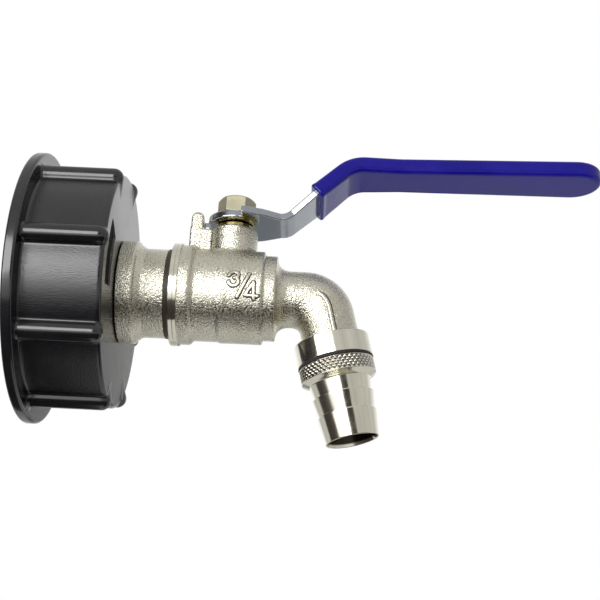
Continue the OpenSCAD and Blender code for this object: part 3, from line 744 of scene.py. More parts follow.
@dataclass
class Cap:
    """The black screw cap with its ribs, front panel, hub and inside thread."""

    root_r: float = 30.3
    lead_r: float = 30.9
    lead_in: float = 4.5
    wall_r: float = 34.5
    rim_r: float = 40.0
    rim_t: float = 3.2
    floor_x: float = 21.4
    hub_r: float = 17.2
    hub_x: float = 11.9
    rib_count: int = 8
    rib_r: float = 2.8
    rib_first: float = 6.0
    rib_end: float = 23.9
    rib_point: tuple = (29.3, 25.5)
    panel: tuple = (21.8, 29.3, -15.5, 24.5)
    panel_depth: float = 0.5
    pitch: float = 6.0
    ridge_h: float = 1.9
    ridge_first: float = 6.6
    ridge_turns: float = 1.7

    def _ribs(self, r: Points, angle: Points, x: Points) -> Points:
        """Distance to the nearest grip rib."""
        spacing = 2 * math.pi / self.rib_count
        first = math.radians(-90 - self.rib_first)
        off = (angle - first + spacing / 2) % spacing - spacing / 2
        out = r * np.cos(off) - self.wall_r
        side = r * np.sin(off)
        bar = np.hypot(np.hypot(out, side), np.maximum(x - self.rib_end, 0)) - self.rib_r
        bar = np.maximum(bar, 1.0 - x)
        du = self.rib_point[0] - self.wall_r
        dx = self.rib_point[1] - self.rib_end
        reach = math.hypot(du, dx)
        along = (out * du + (x - self.rib_end) * dx) / reach
        lift = (-out * dx + (x - self.rib_end) * du) / reach
        return np.minimum(bar, round_cone(np.hypot(lift, side), along, self.rib_r, 0.3, reach))

    def _ridge(self, r: Points, angle: Points, x: Points) -> Points:
        """Distance to the helical ridge of the inside thread."""
        best = np.full(r.shape, 9.0)
        turn = (angle / (2 * math.pi)) % 1.0
        for n in range(2):
            w = turn + n
            fade = np.clip(0.12 + np.minimum(w, self.ridge_turns - w) * 3, 0, 1)
            u = x - (self.ridge_first + self.pitch * w)
            depth = self.root_r - r
            low = -1.8 + depth * 0.9
            high = 1.8 - depth * 0.17
            sides = np.maximum(low - u, u - high)
            d = smooth_max(sides * 0.8, depth - self.ridge_h * fade, 0.4)
            best = np.minimum(best, np.where((w <= self.ridge_turns) & (fade > 0), d, 9.0))
        return np.maximum(best, r - self.root_r - 0.5)

    def shape(self, p: Points) -> Points:
        """The cap's field, in radius, arc length at the wall and place along the flow."""
        r, angle, x = p[..., 0], p[..., 1] / self.wall_r, p[..., 2]
        rim = slab(r, x, self.rim_r, 0.0, self.rim_t, 0.7)
        drum = slab(r, x, self.wall_r, 0.2, CAP_LEN, 1.0)
        solid = smooth_min(rim, drum, 1.0)
        solid = smooth_min(solid, self._ribs(r, angle, x), 0.6)
        inner, outer, low, high = self.panel
        middle = math.radians(-90 - (low + high) / 2)
        half = math.radians((high - low) / 2) * self.wall_r
        off = np.abs(((angle - middle + math.pi) % (2 * math.pi) - math.pi) * self.wall_r) * r / self.wall_r
        edge = np.maximum(np.abs(r - (inner + outer) / 2) - (outer - inner) / 2, off - half * r / self.wall_r)
        sunk = np.maximum(edge, CAP_LEN - self.panel_depth - x)
        solid = smooth_max(solid, -sunk, 0.25)
        hub = smooth_max(r - self.hub_r, self.hub_x - x, 0.5)
        hollow = smooth_max(np.maximum(r - self.root_r, x - self.floor_x), -hub, 0.6)
        hollow = np.minimum(hollow, smooth_max(r - self.lead_r, x - self.lead_in, 0.4))
        solid = smooth_max(solid, -hollow, 0.5)
        solid = np.minimum(solid, self._ridge(r, angle, x))
        return np.maximum(np.maximum(solid, THREAD_R + 0.05 - r), -x)

    def build(self, fin: Finishes) -> None:
        """Meshes the cap and marks where it is smooth."""
        length = 2 * math.pi * self.wall_r
        grid = NetGrid((12.0, 0.0, -0.8), (41.0, length, 28.0), (0.58, length / 400, 0.56), wrap=True)
        points, quads = FieldMesher(grid, self.shape).mesh()
        r, angle, x = points[:, 0], points[:, 1] / self.wall_r, points[:, 2]
        obj = mesh_object("cap_moulding", Axis.FLOW.place(r * np.cos(angle), r * np.sin(angle), x), quads)
        face_outwards(obj)
        rib = self._ribs(r, angle, x)
        smooth = np.clip(1.2 - (rib - 0.1) * 1.5, 0, 1)
        smooth = np.maximum(smooth, np.clip((self.rim_t + 0.4 - x) * 2, 0, 1))
        smooth = np.maximum(smooth, np.clip((x - CAP_LEN + 1.2) * 2, 0, 1) * 0.8)
        zone = obj.data.attributes.new("smooth_zone", "FLOAT", "POINT")
        zone.data.foreach_set("value", smooth.astype(np.float32))
        inner, outer, low, high = self.panel
        turn = (np.degrees(angle) + 90 + (low + high) / 2 + 180) % 360 - 180
        recess = (r > inner + 0.1) & (r < outer - 0.1) & (np.abs(turn) < (high - low) / 2 - 0.2)
        recess &= (x > CAP_LEN - self.panel_depth - 0.2) & (x < CAP_LEN - 0.15)
        dress(obj, fin.black)
        obj.data.materials.append(fin.black_dull)
        obj.data.polygons.foreach_set("material_index", recess[quads].all(1).astype(np.int32))
        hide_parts("cap")
        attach(obj, "tap")
        log.info("cap: %d faces", len(quads))


@dataclass
class InletTail:
    """The tap's inlet piece: flange, cast tube and threaded ends."""

    flange_r: float = 15.2
    bore_r: float = 7.5
    lip: float = 0.92
    joint_r: float = 12.0

    def build(self, fin: Finishes) -> None:
        """Turns the tail and the sealing washer beside it."""
        low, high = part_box("inlet_tail")
        outline = rounded([
            (self.bore_r, low.x / MM, 0.3), (THREAD_R - 1, low.x / MM, 0.1), (THREAD_R, low.x / MM + 1, 0.1),
            (THREAD_R, FLANGE_X, 0), (self.flange_r - 0.8, FLANGE_X, 0.1), (self.flange_r - 0.7, FLANGE_X - self.lip, 0.1),
            (self.flange_r, FLANGE_X - self.lip, 0.6), (self.flange_r, TUBE_X, 0.9),
            (THREAD_R + 1.1, TUBE_X + 0.5, 1.2), (THREAD_R, TUBE_X + 2.2, 2.0), (THREAD_R, JOINT_X, 0.3),
            (self.joint_r, JOINT_X, 0), (self.joint_r, high.x / MM, 0.2), (self.bore_r, high.x / MM, 0.2)])
        tail = turned("inlet_tail_casting", Axis.FLOW, outline)
        dress(tail, fin.blasted)
        tail.data.materials.append(fin.turned_flow)
        for face in tail.data.polygons:
            machined = face.center.x < CAP_LEN * MM or math.hypot(face.center.y, face.center.z) < 8.0 * MM
            face.material_index = int(machined)
        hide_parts("inlet_tail")
        washer = turned("inlet_washer_rubber", Axis.FLOW, rounded([
            (THREAD_R + 0.05, CAP_LEN, 0.1), (14.4, CAP_LEN, 0.4), (14.3, FLANGE_X, 0.4), (THREAD_R + 0.05, FLANGE_X, 0.1)]))
        dress(washer, fin.rubber)
        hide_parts("inlet_washer")
        for piece in (tail, washer):
            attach(piece, "tap")
        log.info("inlet tail and washer")


@dataclass
class TapBody:
    """The tap's casting with its barrel, neck, stop post, elbow and collar."""

    ring_r: float = 15.3
    ring_turned: float = 2.6
    ring_cast_r: float = 14.75
    ring_cast_end: float = 7.0
    step_x: float = 55.4
    barrel_r: float = 13.8
    nose_r: float = 12.6
    neck_r: float = 7.0
    post: tuple = (-13.3, -9.5)
    post_half: float = 2.0
    post_top: float = 26.3
    web_top: float = 21.1
    spout_r: float = 8.4
    bore_r: float = 6.2
    chamber_r: float = 11.1
    bend_r: float = 6.5
    collar: tuple = (12.8, 19.3)
    collar_r: float = 11.0

    def _elbow(self, p: Points, radius: float, fillet: float) -> Points:
        """Distance to a tube that follows the elbow.

        Args:
            p: Points in the frame's axes.
            radius: Radius of the tube.
            fillet: Width of the fillet in the bend's inner corner.

        Returns:
            The field of the tube.
        """
        turn = math.pi / 2 - SPOUT_TILT
        run = self.bend_r * math.tan(turn / 2)
        x, y, z = p[..., 0], p[..., 1], p[..., 2]
        start = CORNER_X - run
        over = np.maximum(x - start, 0) + np.minimum(x - NOSE_END + 4, 0)
        level = np.sqrt(y * y + z * z + over * over)
        s = (x - CORNER_X) * math.sin(SPOUT_TILT) - z * math.cos(SPOUT_TILT)
        t = (x - CORNER_X) * math.cos(SPOUT_TILT) + z * math.sin(SPOUT_TILT)
        over = np.maximum(run - s, 0) + np.maximum(s - self.collar[0] - 0.6, 0)
        down = np.sqrt(t * t + y * y + over * over)
        cx, cz = x - start, z + self.bend_r
        angle = np.clip(np.arctan2(cx, cz), 0, turn)
        bend = np.sqrt((cx - self.bend_r * np.sin(angle)) ** 2 + (cz - self.bend_r * np.cos(angle)) ** 2 + y * y)
        inner = np.clip((self.bend_r - np.hypot(cx, cz)) / 3, 0, 1) * fillet + 0.02
        return np.minimum(smooth_min(level, down, inner), bend) - radius

    def _post(self, p: Points) -> Points:
        """Distance to the stop post and its web."""
        u, y, z = p[..., 0] - STEM_X, np.abs(p[..., 1]), p[..., 2]
        far, near = self.post
        tip = (near - far) / 2
        upright = np.hypot(np.maximum(np.abs(u - (far + near) / 2) - tip + 1.9, 0),
                           np.maximum(z - self.post_top + 1.9, 0)) - 1.9
        upright = np.maximum(upright, np.abs(u - (far + near) / 2) - tip)
        web = np.maximum(np.maximum(far - u, u + 3.5), z - self.web_top)
        plate = smooth_min(upright, web, 0.7)
        plate = np.maximum(plate, 9.0 - z)
        return smooth_max(plate, y - self.post_half, 0.7)

    def shape(self, p: Points) -> Points:
        """The casting's field in the frame's own axes."""
        x, y, z = p[..., 0], p[..., 1], p[..., 2]
        rho = np.hypot(y, z)
        ring = slab(rho, x, self.ring_cast_r, BODY_X + 0.3, BODY_X + self.ring_cast_end - 0.7, 1.15)
        back = slab(rho, x, self.barrel_r - 0.25, BODY_X + 0.3, self.step_x + 2, 0.3)
        barrel = slab(rho, x, self.barrel_r, self.step_x - 0.3, BARREL_END, 0.6)
        nose = slab(rho, x, self.nose_r, BARREL_END - 3, NOSE_END, 0.4)
        d = smooth_min(ring, back, 0.9)
        d = smooth_min(d, barrel, 0.6)
        d = smooth_min(d, nose, 0.5)
        d = smooth_min(d, self._elbow(p, self.spout_r, 2.6), 4.2)
        off = np.hypot(x - STEM_X, y)
        neck = slab(off, z, self.neck_r, 0.0, NECK_TOP, 0.45)
        head = np.maximum(off - 5.8, NECK_TOP - z)
        d = smooth_min(d, smooth_max(smooth_min(self._post(p), neck, 0.7), -head, 0.2), 0.9)
        s = (x - CORNER_X) * math.sin(SPOUT_TILT) - z * math.cos(SPOUT_TILT)
        t = np.hypot((x - CORNER_X) * math.cos(SPOUT_TILT) + z * math.sin(SPOUT_TILT), y)
        ways = np.minimum(np.maximum(rho - self.bore_r, x - NOSE_END), np.maximum(t - self.bore_r, self.collar[0] - 5 - s))
        ways = np.minimum(ways, self._elbow(p, self.bore_r, 0.5))
        chamber = np.maximum(rho - self.chamber_r, x - STEM_X - 8.0)
        thread = np.maximum(rho - 12.05, x - BODY_X - 9.0)
        pocket = np.maximum(off - 5.2, 12.0 - z)
        for cut in (ways, chamber, thread, pocket):
            d = np.maximum(d, -cut)
        return d

    def build(self, fin: Finishes) -> None:
        """Meshes the casting and turns the joint ring and the collar."""
        grid = NetGrid((40.6, -16.0, -21.5), (98.2, 16.0, 27.2), (0.4, 0.4, 0.4))
        points, quads = FieldMesher(grid, self.shape).mesh()
        casting = mesh_object("body_casting", points, quads)
        face_outwards(casting)
        dress(casting, fin.blasted)
        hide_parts("body")
        ring = turned("joint_ring_turned", Axis.FLOW, rounded([
            (12.05, BODY_X, 0), (self.ring_r, BODY_X, 0.35), (self.ring_r, BODY_X + 1.35, 0.06),
            (self.ring_r - 0.22, BODY_X + 1.45, 0.05), (self.ring_r, BODY_X + 1.6, 0.06),
            (self.ring_r, BODY_X + self.ring_turned, 0.2),
            (12.05, BODY_X + self.ring_turned, 0)]), 200)
        dress(ring, fin.turned_flow)
        collar = turned("collar_turned", Axis.SPOUT, rounded([
            (self.bore_r + 0.1, self.collar[0], 0), (self.collar_r, self.collar[0], 0.35),
            (self.collar_r, self.collar[1], 0.3), (9.2, self.collar[1], 0.2), (9.2, self.collar[0] + 1.4, 0),
            (self.bore_r + 0.1, self.collar[0] + 1.4, 0)]), 200)
        dress(collar, fin.turned_spout)
        for piece in (casting, ring, collar):
            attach(piece, "tap")
        log.info("body: %d faces", len(quads))


@dataclass
class ElbowSeam:
    """The fine casting seam on the front of the elbow, from its bend down to the collar, with painted shade in its two
    grooves.
    """

    body: TapBody
    off: float = 1.0
    first: float = math.radians(26)
    fade: float = 2.5
    # Profile rows: across, lift and painted shade; the shade column darkens two narrow grooves along the seam.
    profile: tuple = ((-0.85, -0.15, 0.0), (-0.8, 0.03, 0.4), (-0.62, 0.03, 1.0), (-0.5, 0.05, 0.8), (-0.36, 0.15, 0.1),
                      (-0.15, 0.2, 0.0), (0.15, 0.2, 0.0), (0.36, 0.15, 0.1), (0.5, 0.05, 0.8), (0.62, 0.03, 1.0),
                      (0.8, 0.03, 0.4), (0.85, -0.15, 0.0))

    def build(self, fin: Finishes) -> None:
        """Sweeps the seam's profile along the bend and down the spout."""
        turn = math.pi / 2 - SPOUT_TILT
        run = self.body.bend_r * math.tan(turn / 2)
        bend = [(a, 0.0) for a in np.linspace(self.first, turn, 40)]
        path = bend + [(turn, float(down)) for down in np.linspace(0.3, self.body.collar[0] + 0.2 - run, 24)]
        rows, painted_groove_shade = [], []
        for angle, down in path:
            gone = (angle - self.first) * (self.body.bend_r + self.off) + down
            part = math.sqrt(min(gone / self.fade, 1.0)) * 0.999 + 0.001
            out = np.array([math.sin(angle), 0, math.cos(angle)])
            centre = np.array([CORNER_X - run, 0, -self.body.bend_r]) + self.body.bend_r * out
            centre = centre + down * np.array([math.cos(angle), 0, -math.sin(angle)])
            for across, lift, foot in self.profile:
                off = self.off + across * part
                r = self.body.spout_r + (lift if lift < 0 else lift * part)
                rows.append(centre + off * out - [0, math.sqrt(r * r - off * off), 0])
                painted_groove_shade.append(foot * part)
        n = len(self.profile)
        faces = [(i * n + j, i * n + (j + 1) % n, (i + 1) * n + (j + 1) % n, (i + 1) * n + j)
                 for i in range(len(path) - 1) for j in range(n)]
        faces += [tuple(range(n)), tuple(range((len(path) - 1) * n, len(path) * n))]
        seam = mesh_object("elbow_seam", np.array(rows), faces)
        face_outwards(seam)
        # Painted shade: the foot attribute darkens the seam's two grooves.
        groove_shade = seam.data.attributes.new("foot", "FLOAT", "POINT")
        groove_shade.data.foreach_set("value", np.array(painted_groove_shade, np.float32))
        dress(seam, fin.raised)
        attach(seam, "tap")
        log.info("elbow seam: %d faces", len(faces))


@dataclass
class SizeNumerals:
    """The raised size numerals on the front of the barrel, drawn as strokes along and round it."""

    barrel_r: float = 13.8
    height: float = 0.42
    half: float = 0.44
    strokes: tuple = (
        ((58.2, 1.6), (58.8, 2.45), (59.8, 2.9), (60.75, 2.55), (61.0, 1.85), (60.6, 1.15), (59.8, 0.95)),
        ((60.6, 1.0), (60.95, 0.3), (60.95, -0.6), (60.4, -1.3), (59.35, -1.5), (58.45, -0.95), (58.25, -0.3)),
        ((64.03, 2.36), (60.86, -4.68)), ((65.4, -0.1), (63.1, -4.0), (66.7, -4.15)), ((65.4, -0.1), (65.6, -5.1)))

    def shape(self, p: Points) -> Points:
        """Field in place along the flow, arc round the barrel and distance from its axis."""
        plan = p[..., :2]
        d = np.full(plan.shape[:-1], 9.0)
        for line in self.strokes:
            for a, b in zip(line, line[1:]):
                d = np.minimum(d, stroke(plan, a, b))
        top = p[..., 2] - self.barrel_r - self.height
        raised = smooth_max(d - self.half, top, 0.22)
        skirt = np.maximum(d - self.half - 0.3, p[..., 2] - self.barrel_r - 0.05)
        return np.maximum(np.minimum(raised, skirt), self.barrel_r - 0.5 - p[..., 2])

    def build(self, fin: Finishes) -> None:
        """Meshes the numerals and wraps them round the barrel."""
        grid = NetGrid((57.0, -6.2, self.barrel_r - 0.8), (68.0, 4.2, self.barrel_r + 0.8), (0.14, 0.14, 0.14))
        points, quads = FieldMesher(grid, self.shape).mesh()
        angle = points[:, 1] / self.barrel_r
        rho = points[:, 2]
        obj = mesh_object("size_numerals", np.stack([points[:, 0], -rho * np.cos(angle), rho * np.sin(angle)], 1), quads)
        face_outwards(obj)
        # Painted shade: the foot attribute rises towards the barrel, darkening the strokes' feet.
        foot = obj.data.attributes.new("foot", "FLOAT", "POINT")
        foot.data.foreach_set("value", (1 - (rho - self.barrel_r) / self.height).astype(np.float32))
        dress(obj, fin.raised)
        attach(obj, "tap")
        log.info("numerals: %d faces", len(quads))


@dataclass
class HoseTail:
    """The screwed hose tail with its knurled ring and three barbs."""

    start: float = 20.1
    knurl_end: float = 24.4
    bevel_end: float = 25.6
    ends: tuple = (29.7, 35.1, 42.9)
    collar_r: float = 11.0
    knurl_pitch: float = 1.5
    knurl_depth: float = 0.5

    def _knurl(self, r: Points, angle: Points, s: Points) -> Points:
        """Cuts the crossed grooves into the ring's outside."""
        count = round(2 * math.pi * self.collar_r / self.knurl_pitch)
        turn = angle / (2 * math.pi) * count
        run = (s - self.start) / self.knurl_pitch * 0.95
        one = np.abs(2 * ((turn + run) % 1) - 1)
        two = np.abs(2 * ((turn - run) % 1) - 1)
        cut = self.knurl_depth * np.maximum(one, two) ** 1.4
        inside = np.clip((s - self.start - 0.25) * 6, 0, 1) * np.clip((self.knurl_end - 0.15 - s) * 6, 0, 1)
        return np.where(r > self.collar_r - 0.05, r - cut * inside, r)

    def build(self, fin: Finishes) -> None:
        """Turns the tail, the knurl and the ring above it."""
        knurl = [(self.collar_r, self.start + 0.3 + 0.15 * i) for i in range(int((self.knurl_end - self.start - 0.4) / 0.15) + 1)]
        e1, e2, e3 = self.ends
        barbs = rounded([
            (self.collar_r, self.knurl_end, 0.12), (8.9, self.bevel_end, 0.3), (8.24, e1, 0.15), (9.0, e1, 0.22),
            (8.05, e2, 0.15), (8.6, e2, 0.22), (7.65, e3, 0.2), (7.3, e3, 0.1), (6.95, e3 - 1.2, 0.5), (6.3, e3 - 3.4, 1.0), (6.3, 14.6, 0),
            (9.15, 14.6, 0.2), (9.15, self.start, 0)])
        outline = [(9.15, self.start), (10.75, self.start), (self.collar_r - 0.05, self.start + 0.2)] + knurl + barbs[:-1]
        tail = turned("hose_tail_turned", Axis.SPOUT, outline, 368, self._knurl)
        shape = np.array([v.co for v in tail.data.vertices]) / MM - [CORNER_X, 0, 0]
        across = shape @ [math.cos(SPOUT_TILT), 0, math.sin(SPOUT_TILT)]
        along = shape @ [math.sin(SPOUT_TILT), 0, -math.cos(SPOUT_TILT)]
        # Painted shade: the foot attribute darkens the knurl's grooves by their depth and the whole bore inside.
        painted_shade = (self.collar_r - np.hypot(across, shape[:, 1])) / self.knurl_depth
        painted_shade[(along < self.start + 0.25) | (along > self.knurl_end - 0.1) | (painted_shade > 1.2)] = 0
        painted_shade[np.hypot(across, shape[:, 1]) < 7.1] = 1
        foot = tail.data.attributes.new("foot", "FLOAT", "POINT")
        foot.data.foreach_set("value", painted_shade.astype(np.float32))
        dress(tail, fin.turned_tail)
        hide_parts("nozzle")
        ring = turned("hose_tail_seal", Axis.SPOUT, rounded([
            (9.2, 19.3, 0.1), (11.1, 19.3, 0.3), (11.1, 20.1, 0.3), (9.2, 20.1, 0.1)]))
        dress(ring, fin.rubber)
        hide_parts("nozzle_o_ring")
        for piece in (tail, ring):
            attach(piece, "tap")
        log.info("hose tail: %d faces", len(tail.data.polygons))


@dataclass
class Lever:
    """The bent steel lever with its vinyl sleeve, split washer and nut."""

    small_r: float = 8.2
    wide_r: float = 12.0
    shoulder: float = 2.35
    plate: float = 13.7
    ramp_angle: float = math.radians(44)
    ramp: float = 20.3
    grip_angle: float = math.radians(1.3)
    grip: float = 70.8
    bend_low: float = 5.0
    bend_high: float = 10.0
    vinyl: float = 1.45
    vinyl_start: float = 9.5
    widths: tuple = (12.0, 10.08, 7.1, 7.1, 8.3, 7.2, 6.1, 7.1)
    s_ramp: float = field(init=False)
    s_bend: float = field(init=False)
    s_grip: float = field(init=False)
    s_end: float = field(init=False)

    def __post_init__(self) -> None:
        """Works out where the bends lie along the centre line."""
        self.s_ramp = self.plate + self.bend_low * self.ramp_angle
        self.s_bend = self.s_ramp + self.ramp
        self.s_grip = self.s_bend + self.bend_high * (self.ramp_angle - self.grip_angle)
        self.s_end = self.s_grip + self.grip

    def place(self, s: Points, y: Points, h: Points) -> Points:
        """Bends points given along, across and above the strip's centre line into the frame."""
        low = np.clip((s - self.plate) / self.bend_low, 0, self.ramp_angle)
        high = np.clip((s - self.s_bend) / self.bend_high, 0, self.ramp_angle - self.grip_angle)
        angle = low - high
        x = np.minimum(s, self.plate) + self.bend_low * np.sin(low)
        z = self.bend_low * (1 - np.cos(low))
        ramp = np.clip(s - self.s_ramp, 0, self.ramp)
        x = x + ramp * math.cos(self.ramp_angle)
        z = z + ramp * math.sin(self.ramp_angle)
        x = x + self.bend_high * (math.sin(self.ramp_angle) - np.sin(self.ramp_angle - high))
        z = z + self.bend_high * (np.cos(self.ramp_angle - high) - math.cos(self.ramp_angle))
        grip = np.maximum(s - self.s_grip, 0)
        x = x + grip * math.cos(self.grip_angle)
        z = z + grip * math.sin(self.grip_angle)
        return np.stack([STEM_X + x - h * np.sin(angle), y, LEVER_Z + LEVER_T / 2 + z + h * np.cos(angle)], -1)

    def half(self, s: Points) -> Points:
        """Half of the strip's width along its centre line."""
        at = [self.plate * 0.15, self.plate * 0.62, self.plate, self.s_ramp, self.s_ramp + self.ramp * 0.45,
              (self.s_bend + self.s_grip) / 2, self.s_grip + self.grip * 0.15, self.s_end - 7.1]
        return np.interp(s, at, self.widths)

    def strip(self, p: Points) -> Points:
        """Field of the bare strip, along, across and above its centre line."""
        s, y, h = p[..., 0], np.abs(p[..., 1]), p[..., 2]
        side = p[..., 1]
        off = np.hypot(s, side)
        wide = smooth_max(off - self.wide_r, np.minimum(self.shoulder - side, self.shoulder - s), 0.5)
        tail = np.maximum(y - self.half(s), self.shoulder - s)
        plan = smooth_min(np.minimum(off - self.small_r, wide), tail, 0.6)
        plan = np.maximum(plan, s - self.s_ramp - self.vinyl_start - 4)
        hole = np.maximum(off - 3.25, np.abs(s) - 2.45)
        plan = np.maximum(plan, -hole)
        edge = 0.3
        a, b = plan + edge, np.abs(h) - LEVER_T / 2 + edge
        return np.hypot(np.maximum(a, 0), np.maximum(b, 0)) + np.minimum(np.maximum(a, b), 0) - edge

    def sleeve(self, p: Points) -> Points:
        """Field of the dipped sleeve."""
        s, y, h = p[..., 0], np.abs(p[..., 1]), np.abs(p[..., 2])
        start = self.s_ramp + self.vinyl_start
        end_r = 7.1 + self.vinyl
        middle = self.s_end + self.vinyl - end_r
        plan = np.where(s > middle, np.hypot(s - middle, y) - end_r, y - self.half(s) - self.vinyl)
        thick = LEVER_T / 2 + self.vinyl
        lip = 0.12 * np.exp(-((s - start - 0.7) / 0.6) ** 2)
        edge = 1.5
        a, b = plan + edge - lip, h - thick + edge - lip
        d = np.hypot(np.maximum(a, 0), np.maximum(b, 0)) + np.minimum(np.maximum(a, b), 0) - edge
        return smooth_max(d, start - s, 0.5)

    def nut(self, p: Points) -> Points:
        """Field of the hexagon nut, about the stem's axis."""
        x, y, z = p[..., 0], p[..., 1], p[..., 2]
        flat, corner, high = 5.0, 10 / math.sqrt(3), 5.2
        sides = [np.abs(x * math.cos(a) + y * math.sin(a)) - flat for a in (math.pi / 6, math.pi / 2, 5 * math.pi / 6)]
        d = smooth_max(smooth_max(sides[0], sides[1], 0.12), sides[2], 0.12)
        d = smooth_max(d, np.abs(z - high / 2) - high / 2, 0.15)
        rho = np.hypot(x, y)
        face, fall = flat - 0.1, (corner - flat + 0.1) * 0.6
        size = math.hypot(fall, corner - face)
        top = ((rho - face) * fall + (z - high) * (corner - face)) / size
        foot = ((rho - face) * fall / 2 + (-z) * (corner - face)) / math.hypot(fall / 2, corner - face)
        d = smooth_max(smooth_max(d, top, 0.15), foot, 0.15)
        return smooth_max(d, 3.05 - rho, 0.2)

    def build(self, fin: Finishes) -> None:
        """Meshes the strip, the sleeve and the nut."""
        end = self.s_ramp + self.vinyl_start + 4
        grid = NetGrid((-12.8, -12.9, -1.6), (end + 0.8, 12.9, 1.6), (0.36, 0.36, 0.16))
        points, quads = FieldMesher(grid, self.strip).mesh()
        strip = mesh_object("lever_strip", self.place(*points.T), quads)
        dress(strip, fin.zinc)
        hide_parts("lever")
        grid = NetGrid((end - 5.0, -11.0, -3.4), (self.s_end + 2.4, 11.0, 3.4), (0.5, 0.44, 0.3))
        points, quads = FieldMesher(grid, self.sleeve).mesh()
        sleeve = mesh_object("lever_vinyl", self.place(*points.T), quads)
        dress(sleeve, fin.vinyl)
        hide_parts("lever_sleeve")
        grid = NetGrid((-6.2, -6.2, -0.4), (6.2, 6.2, 5.6), (0.16, 0.16, 0.16))
        points, quads = FieldMesher(grid, self.nut).mesh()
        washer_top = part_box("lever_nut")[0].z / MM
        nut = mesh_object("lever_nut_hexagon", points + [STEM_X, 0, washer_top], quads)
        dress(nut, fin.nut)
        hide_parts("lever_nut")
        for piece in (strip, sleeve, nut):
            face_outwards(piece)
            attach(piece, "handle")
            log.info("%s: %d faces", piece.name, len(piece.data.polygons))


@dataclass
class InnerParts:
    """The solids that keep their own meshes and get a finish."""

    def build(self, fin: Finishes) -> None:
        """Dresses each remaining node."""
        looks = {
            "tank_gasket": fin.rubber, "joint_seal": fin.sealant, "ball": fin.ball, "inlet_seat": fin.seat,
            "outlet_seat": fin.seat, "stem": fin.brass, "stem_thrust_washer": fin.seat, "packing_lower": fin.seat,
            "packing_upper": fin.seat, "gland_nut": fin.brass, "spring_washer": fin.zinc}
        for node, material in looks.items():
            dress(frame["nodes"][node], material)
            log.info("%s: finish set", node)


# stage


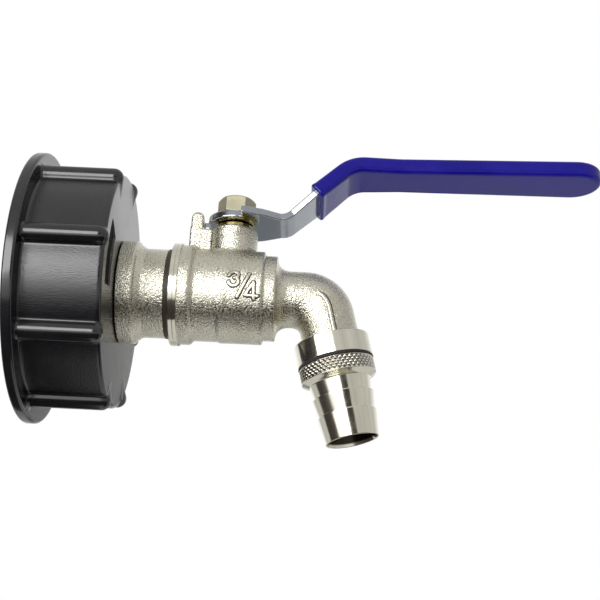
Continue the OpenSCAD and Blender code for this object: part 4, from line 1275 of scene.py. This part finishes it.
@dataclass
class Studio:
    """Camera, floor, world and lamps."""

    azimuth: float = math.radians(1.11)
    elevation: float = math.radians(-19.9)
    roll: float = math.radians(3.02)
    distance: float = 0.355
    target: tuple = (0.0786, 0.0, 0.0001)
    lens: float = 72.0
    floor_z: float = -0.15

    def camera(self) -> None:
        """Sets the camera at the photograph's viewing angle."""
        a, e = self.azimuth, self.elevation
        back = Vector((math.sin(a) * math.cos(e), -math.cos(a) * math.cos(e), math.sin(e)))
        right = (-back).cross(Vector((0, 0, 1))).normalized()
        up = right.cross(-back)
        c, s = math.cos(self.roll), math.sin(self.roll)
        x, y = right * c + up * s, up * c - right * s
        data = bpy.data.cameras.new("camera")
        data.lens = self.lens
        data.sensor_width = 36.0
        data.clip_start = 0.01
        cam = bpy.data.objects.new("camera", data)
        bpy.context.scene.collection.objects.link(cam)
        turn = Matrix((x, y, back)).transposed().to_4x4()
        cam.matrix_world = Matrix.Translation(Vector(self.target) + back * self.distance) @ turn
        bpy.context.scene.camera = cam

    def floor(self) -> None:
        """Lays the pale floor, which is clear from below."""
        size = 14.0
        mesh = bpy.data.meshes.new("floor")
        mesh.from_pydata([(-size, -size, 0), (size, -size, 0), (size, size, 0), (-size, size, 0)], [], [(0, 1, 2, 3)])
        floor = bpy.data.objects.new("floor", mesh)
        floor.location = (0.08, 0, self.floor_z)
        bpy.context.scene.collection.objects.link(floor)
        mat, n, bsdf = new_material("pale floor", Roughness=0.85)
        cloud = n.add("ShaderNodeTexNoise", {"Scale": 6.0})
        n.put(bsdf, "Base Color", n.mix(cloud.outputs["Fac"], (0.86, 0.86, 0.85, 1), (0.89, 0.89, 0.88, 1)))
        clear = n.add("ShaderNodeBsdfTransparent")
        both = n.add("ShaderNodeMixShader", {0: n.add("ShaderNodeNewGeometry").outputs["Backfacing"],
                                             1: bsdf.outputs[0], 2: clear.outputs[0]})
        n.put(n.tree.nodes["Material Output"], "Surface", both.outputs[0])
        floor.data.materials.append(mat)

    def world(self) -> None:
        """Fills the room with soft light that is darker low in front, and shows white to the camera."""
        world = bpy.data.worlds.new("studio")
        bpy.context.scene.world = world
        world.use_nodes = True
        world.node_tree.nodes.clear()
        n = Nodes(world.node_tree)
        where = n.add("ShaderNodeTexCoord").outputs["Generated"]
        split = n.add("ShaderNodeSeparateXYZ", {0: where})
        uneven = n.add("ShaderNodeTexNoise", {"Vector": where, "Scale": 2.6})
        left = n.add("ShaderNodeVectorMath", {0: where, 1: (-0.9, -0.42, 0.1)}, operation="DOT_PRODUCT").outputs["Value"]
        level = n.mix(n.ramp(split.outputs["Z"], -0.25, 0.9), (0.5, 0.49, 0.465, 1), (0.6, 0.6, 0.59, 1))
        level = n.mix(n.ramp(split.outputs["Y"], 0.3, 0.9), level, (0.96, 0.97, 0.96, 1))
        room = n.mix(n.ramp(left, 0.7, 0.95), level, (0.06, 0.055, 0.05, 1))
        shade = n.math("ADD", n.math("MULTIPLY", uneven.outputs["Fac"], 0.7), 0.65)
        soft = n.add("ShaderNodeBackground", {"Color": room, "Strength": shade})
        white = n.add("ShaderNodeBackground", {"Color": (1, 1, 1, 1), "Strength": 1.0})
        seen = n.add("ShaderNodeLightPath").outputs["Is Camera Ray"]
        both = n.add("ShaderNodeMixShader", {0: seen, 1: soft.outputs[0], 2: white.outputs[0]})
        n.add("ShaderNodeOutputWorld", {"Surface": both.outputs[0]})

    def card(self, name: str, panels: Sequence[Sequence[tuple[float, float, float]]], one: tuple, two: tuple) -> None:
        """Sets up a card that only mirrored light meets, as a studio flag does.

        Args:
            name: Name of the card.
            panels: Its flat panels as rows of corners.
            one: First colour of its cloudy finish.
            two: Second colour.
        """
        corners = [corner for panel in panels for corner in panel]
        faces, first = [], 0
        for panel in panels:
            faces.append(tuple(range(first, first + len(panel))))
            first += len(panel)
        mesh = bpy.data.meshes.new(name)
        mesh.from_pydata(corners, [], faces)
        card = bpy.data.objects.new(name, mesh)
        bpy.context.scene.collection.objects.link(card)
        mat, n, bsdf = new_material(name + " cloth", Roughness=0.9)
        weave = n.add("ShaderNodeTexNoise", {"Scale": 400.0})
        n.put(bsdf, "Base Color", n.mix(weave.outputs["Fac"], one, two))
        card.data.materials.append(mat)
        card.visible_camera = False
        card.visible_shadow = False
        card.visible_diffuse = False

    def cards(self) -> None:
        """Lays the dark card low in front, stands three dark ones round it and lays a grey one behind. The low panel
        under the cap's rim is a painted shadow of the cap on the floor, seen only in reflections.
        """
        low = self.floor_z + 0.0005
        dark = [
            [(-0.8, -0.48, low), (-0.25, -0.27, low), (0.5, -0.27, low), (0.5, -0.04, low), (-0.8, -0.04, low)],
            # Painted shadow: this low panel, under the cap's rim and out to the left, stands in for the cap's shadow on
            # the floor.
            [(-0.8, -0.04, low), (0.003, -0.04, low), (0.003, 0.15, low), (-0.8, 0.15, low)],
            [(0.077, -0.04, low), (0.5, -0.04, low), (0.5, 0.04, low), (0.077, 0.04, low)],
            [(-0.8, -0.56, low), (-0.8, -0.56, 0.3), (-0.8, 0.2, 0.3), (-0.8, 0.2, low)],
            [(0.09, -0.75, low), (0.42, -0.75, low), (0.42, -0.75, 0.07), (0.09, -0.75, 0.07)],
            [(0.106, 0.5, low), (0.19, 0.5, low), (0.19, 0.5, 0.19), (0.106, 0.5, 0.19)]]
        self.card("dark_card", dark, (0.022, 0.015, 0.011, 1), (0.04, 0.027, 0.019, 1))
        grey = [[(0.0, 0.25, low), (0.06, 0.25, low), (0.066, 0.6, low), (0.0, 0.6, low)]]
        self.card("grey_card", grey, (0.3, 0.32, 0.33, 1), (0.36, 0.38, 0.39, 1))

    def lamp(self, name: str, at: Sequence[float], size: tuple[float, float], power: float) -> None:
        """Adds a soft box that looks at the object."""
        data = bpy.data.lights.new(name, "AREA")
        data.shape = "RECTANGLE"
        data.size, data.size_y = size
        data.energy = power
        lamp = bpy.data.objects.new(name, data)
        lamp.location = at
        aim = Vector(self.target) - Vector(at)
        lamp.rotation_euler = aim.to_track_quat("-Z", "Y").to_euler()
        lamp.visible_camera = False
        bpy.context.scene.collection.objects.link(lamp)

    def build(self) -> None:
        """Sets up the whole stage."""
        self.camera()
        self.floor()
        self.world()
        self.lamp("front box", (-0.34, -0.79, 0.085), (0.84, 0.44), 6.0)
        self.cards()
        bpy.context.scene.view_settings.view_transform = "Standard"
        log.info("stage set")


def main() -> None:
    """Builds the dressed part and its stage."""
    studio = Studio()
    studio.build()
    fin = Finishes()
    body = TapBody()
    for part in (Cap(), InletTail(), body, ElbowSeam(body), SizeNumerals(), HoseTail(), Lever(), InnerParts()):
        part.build(fin)


if __name__ == "__main__":
    main()
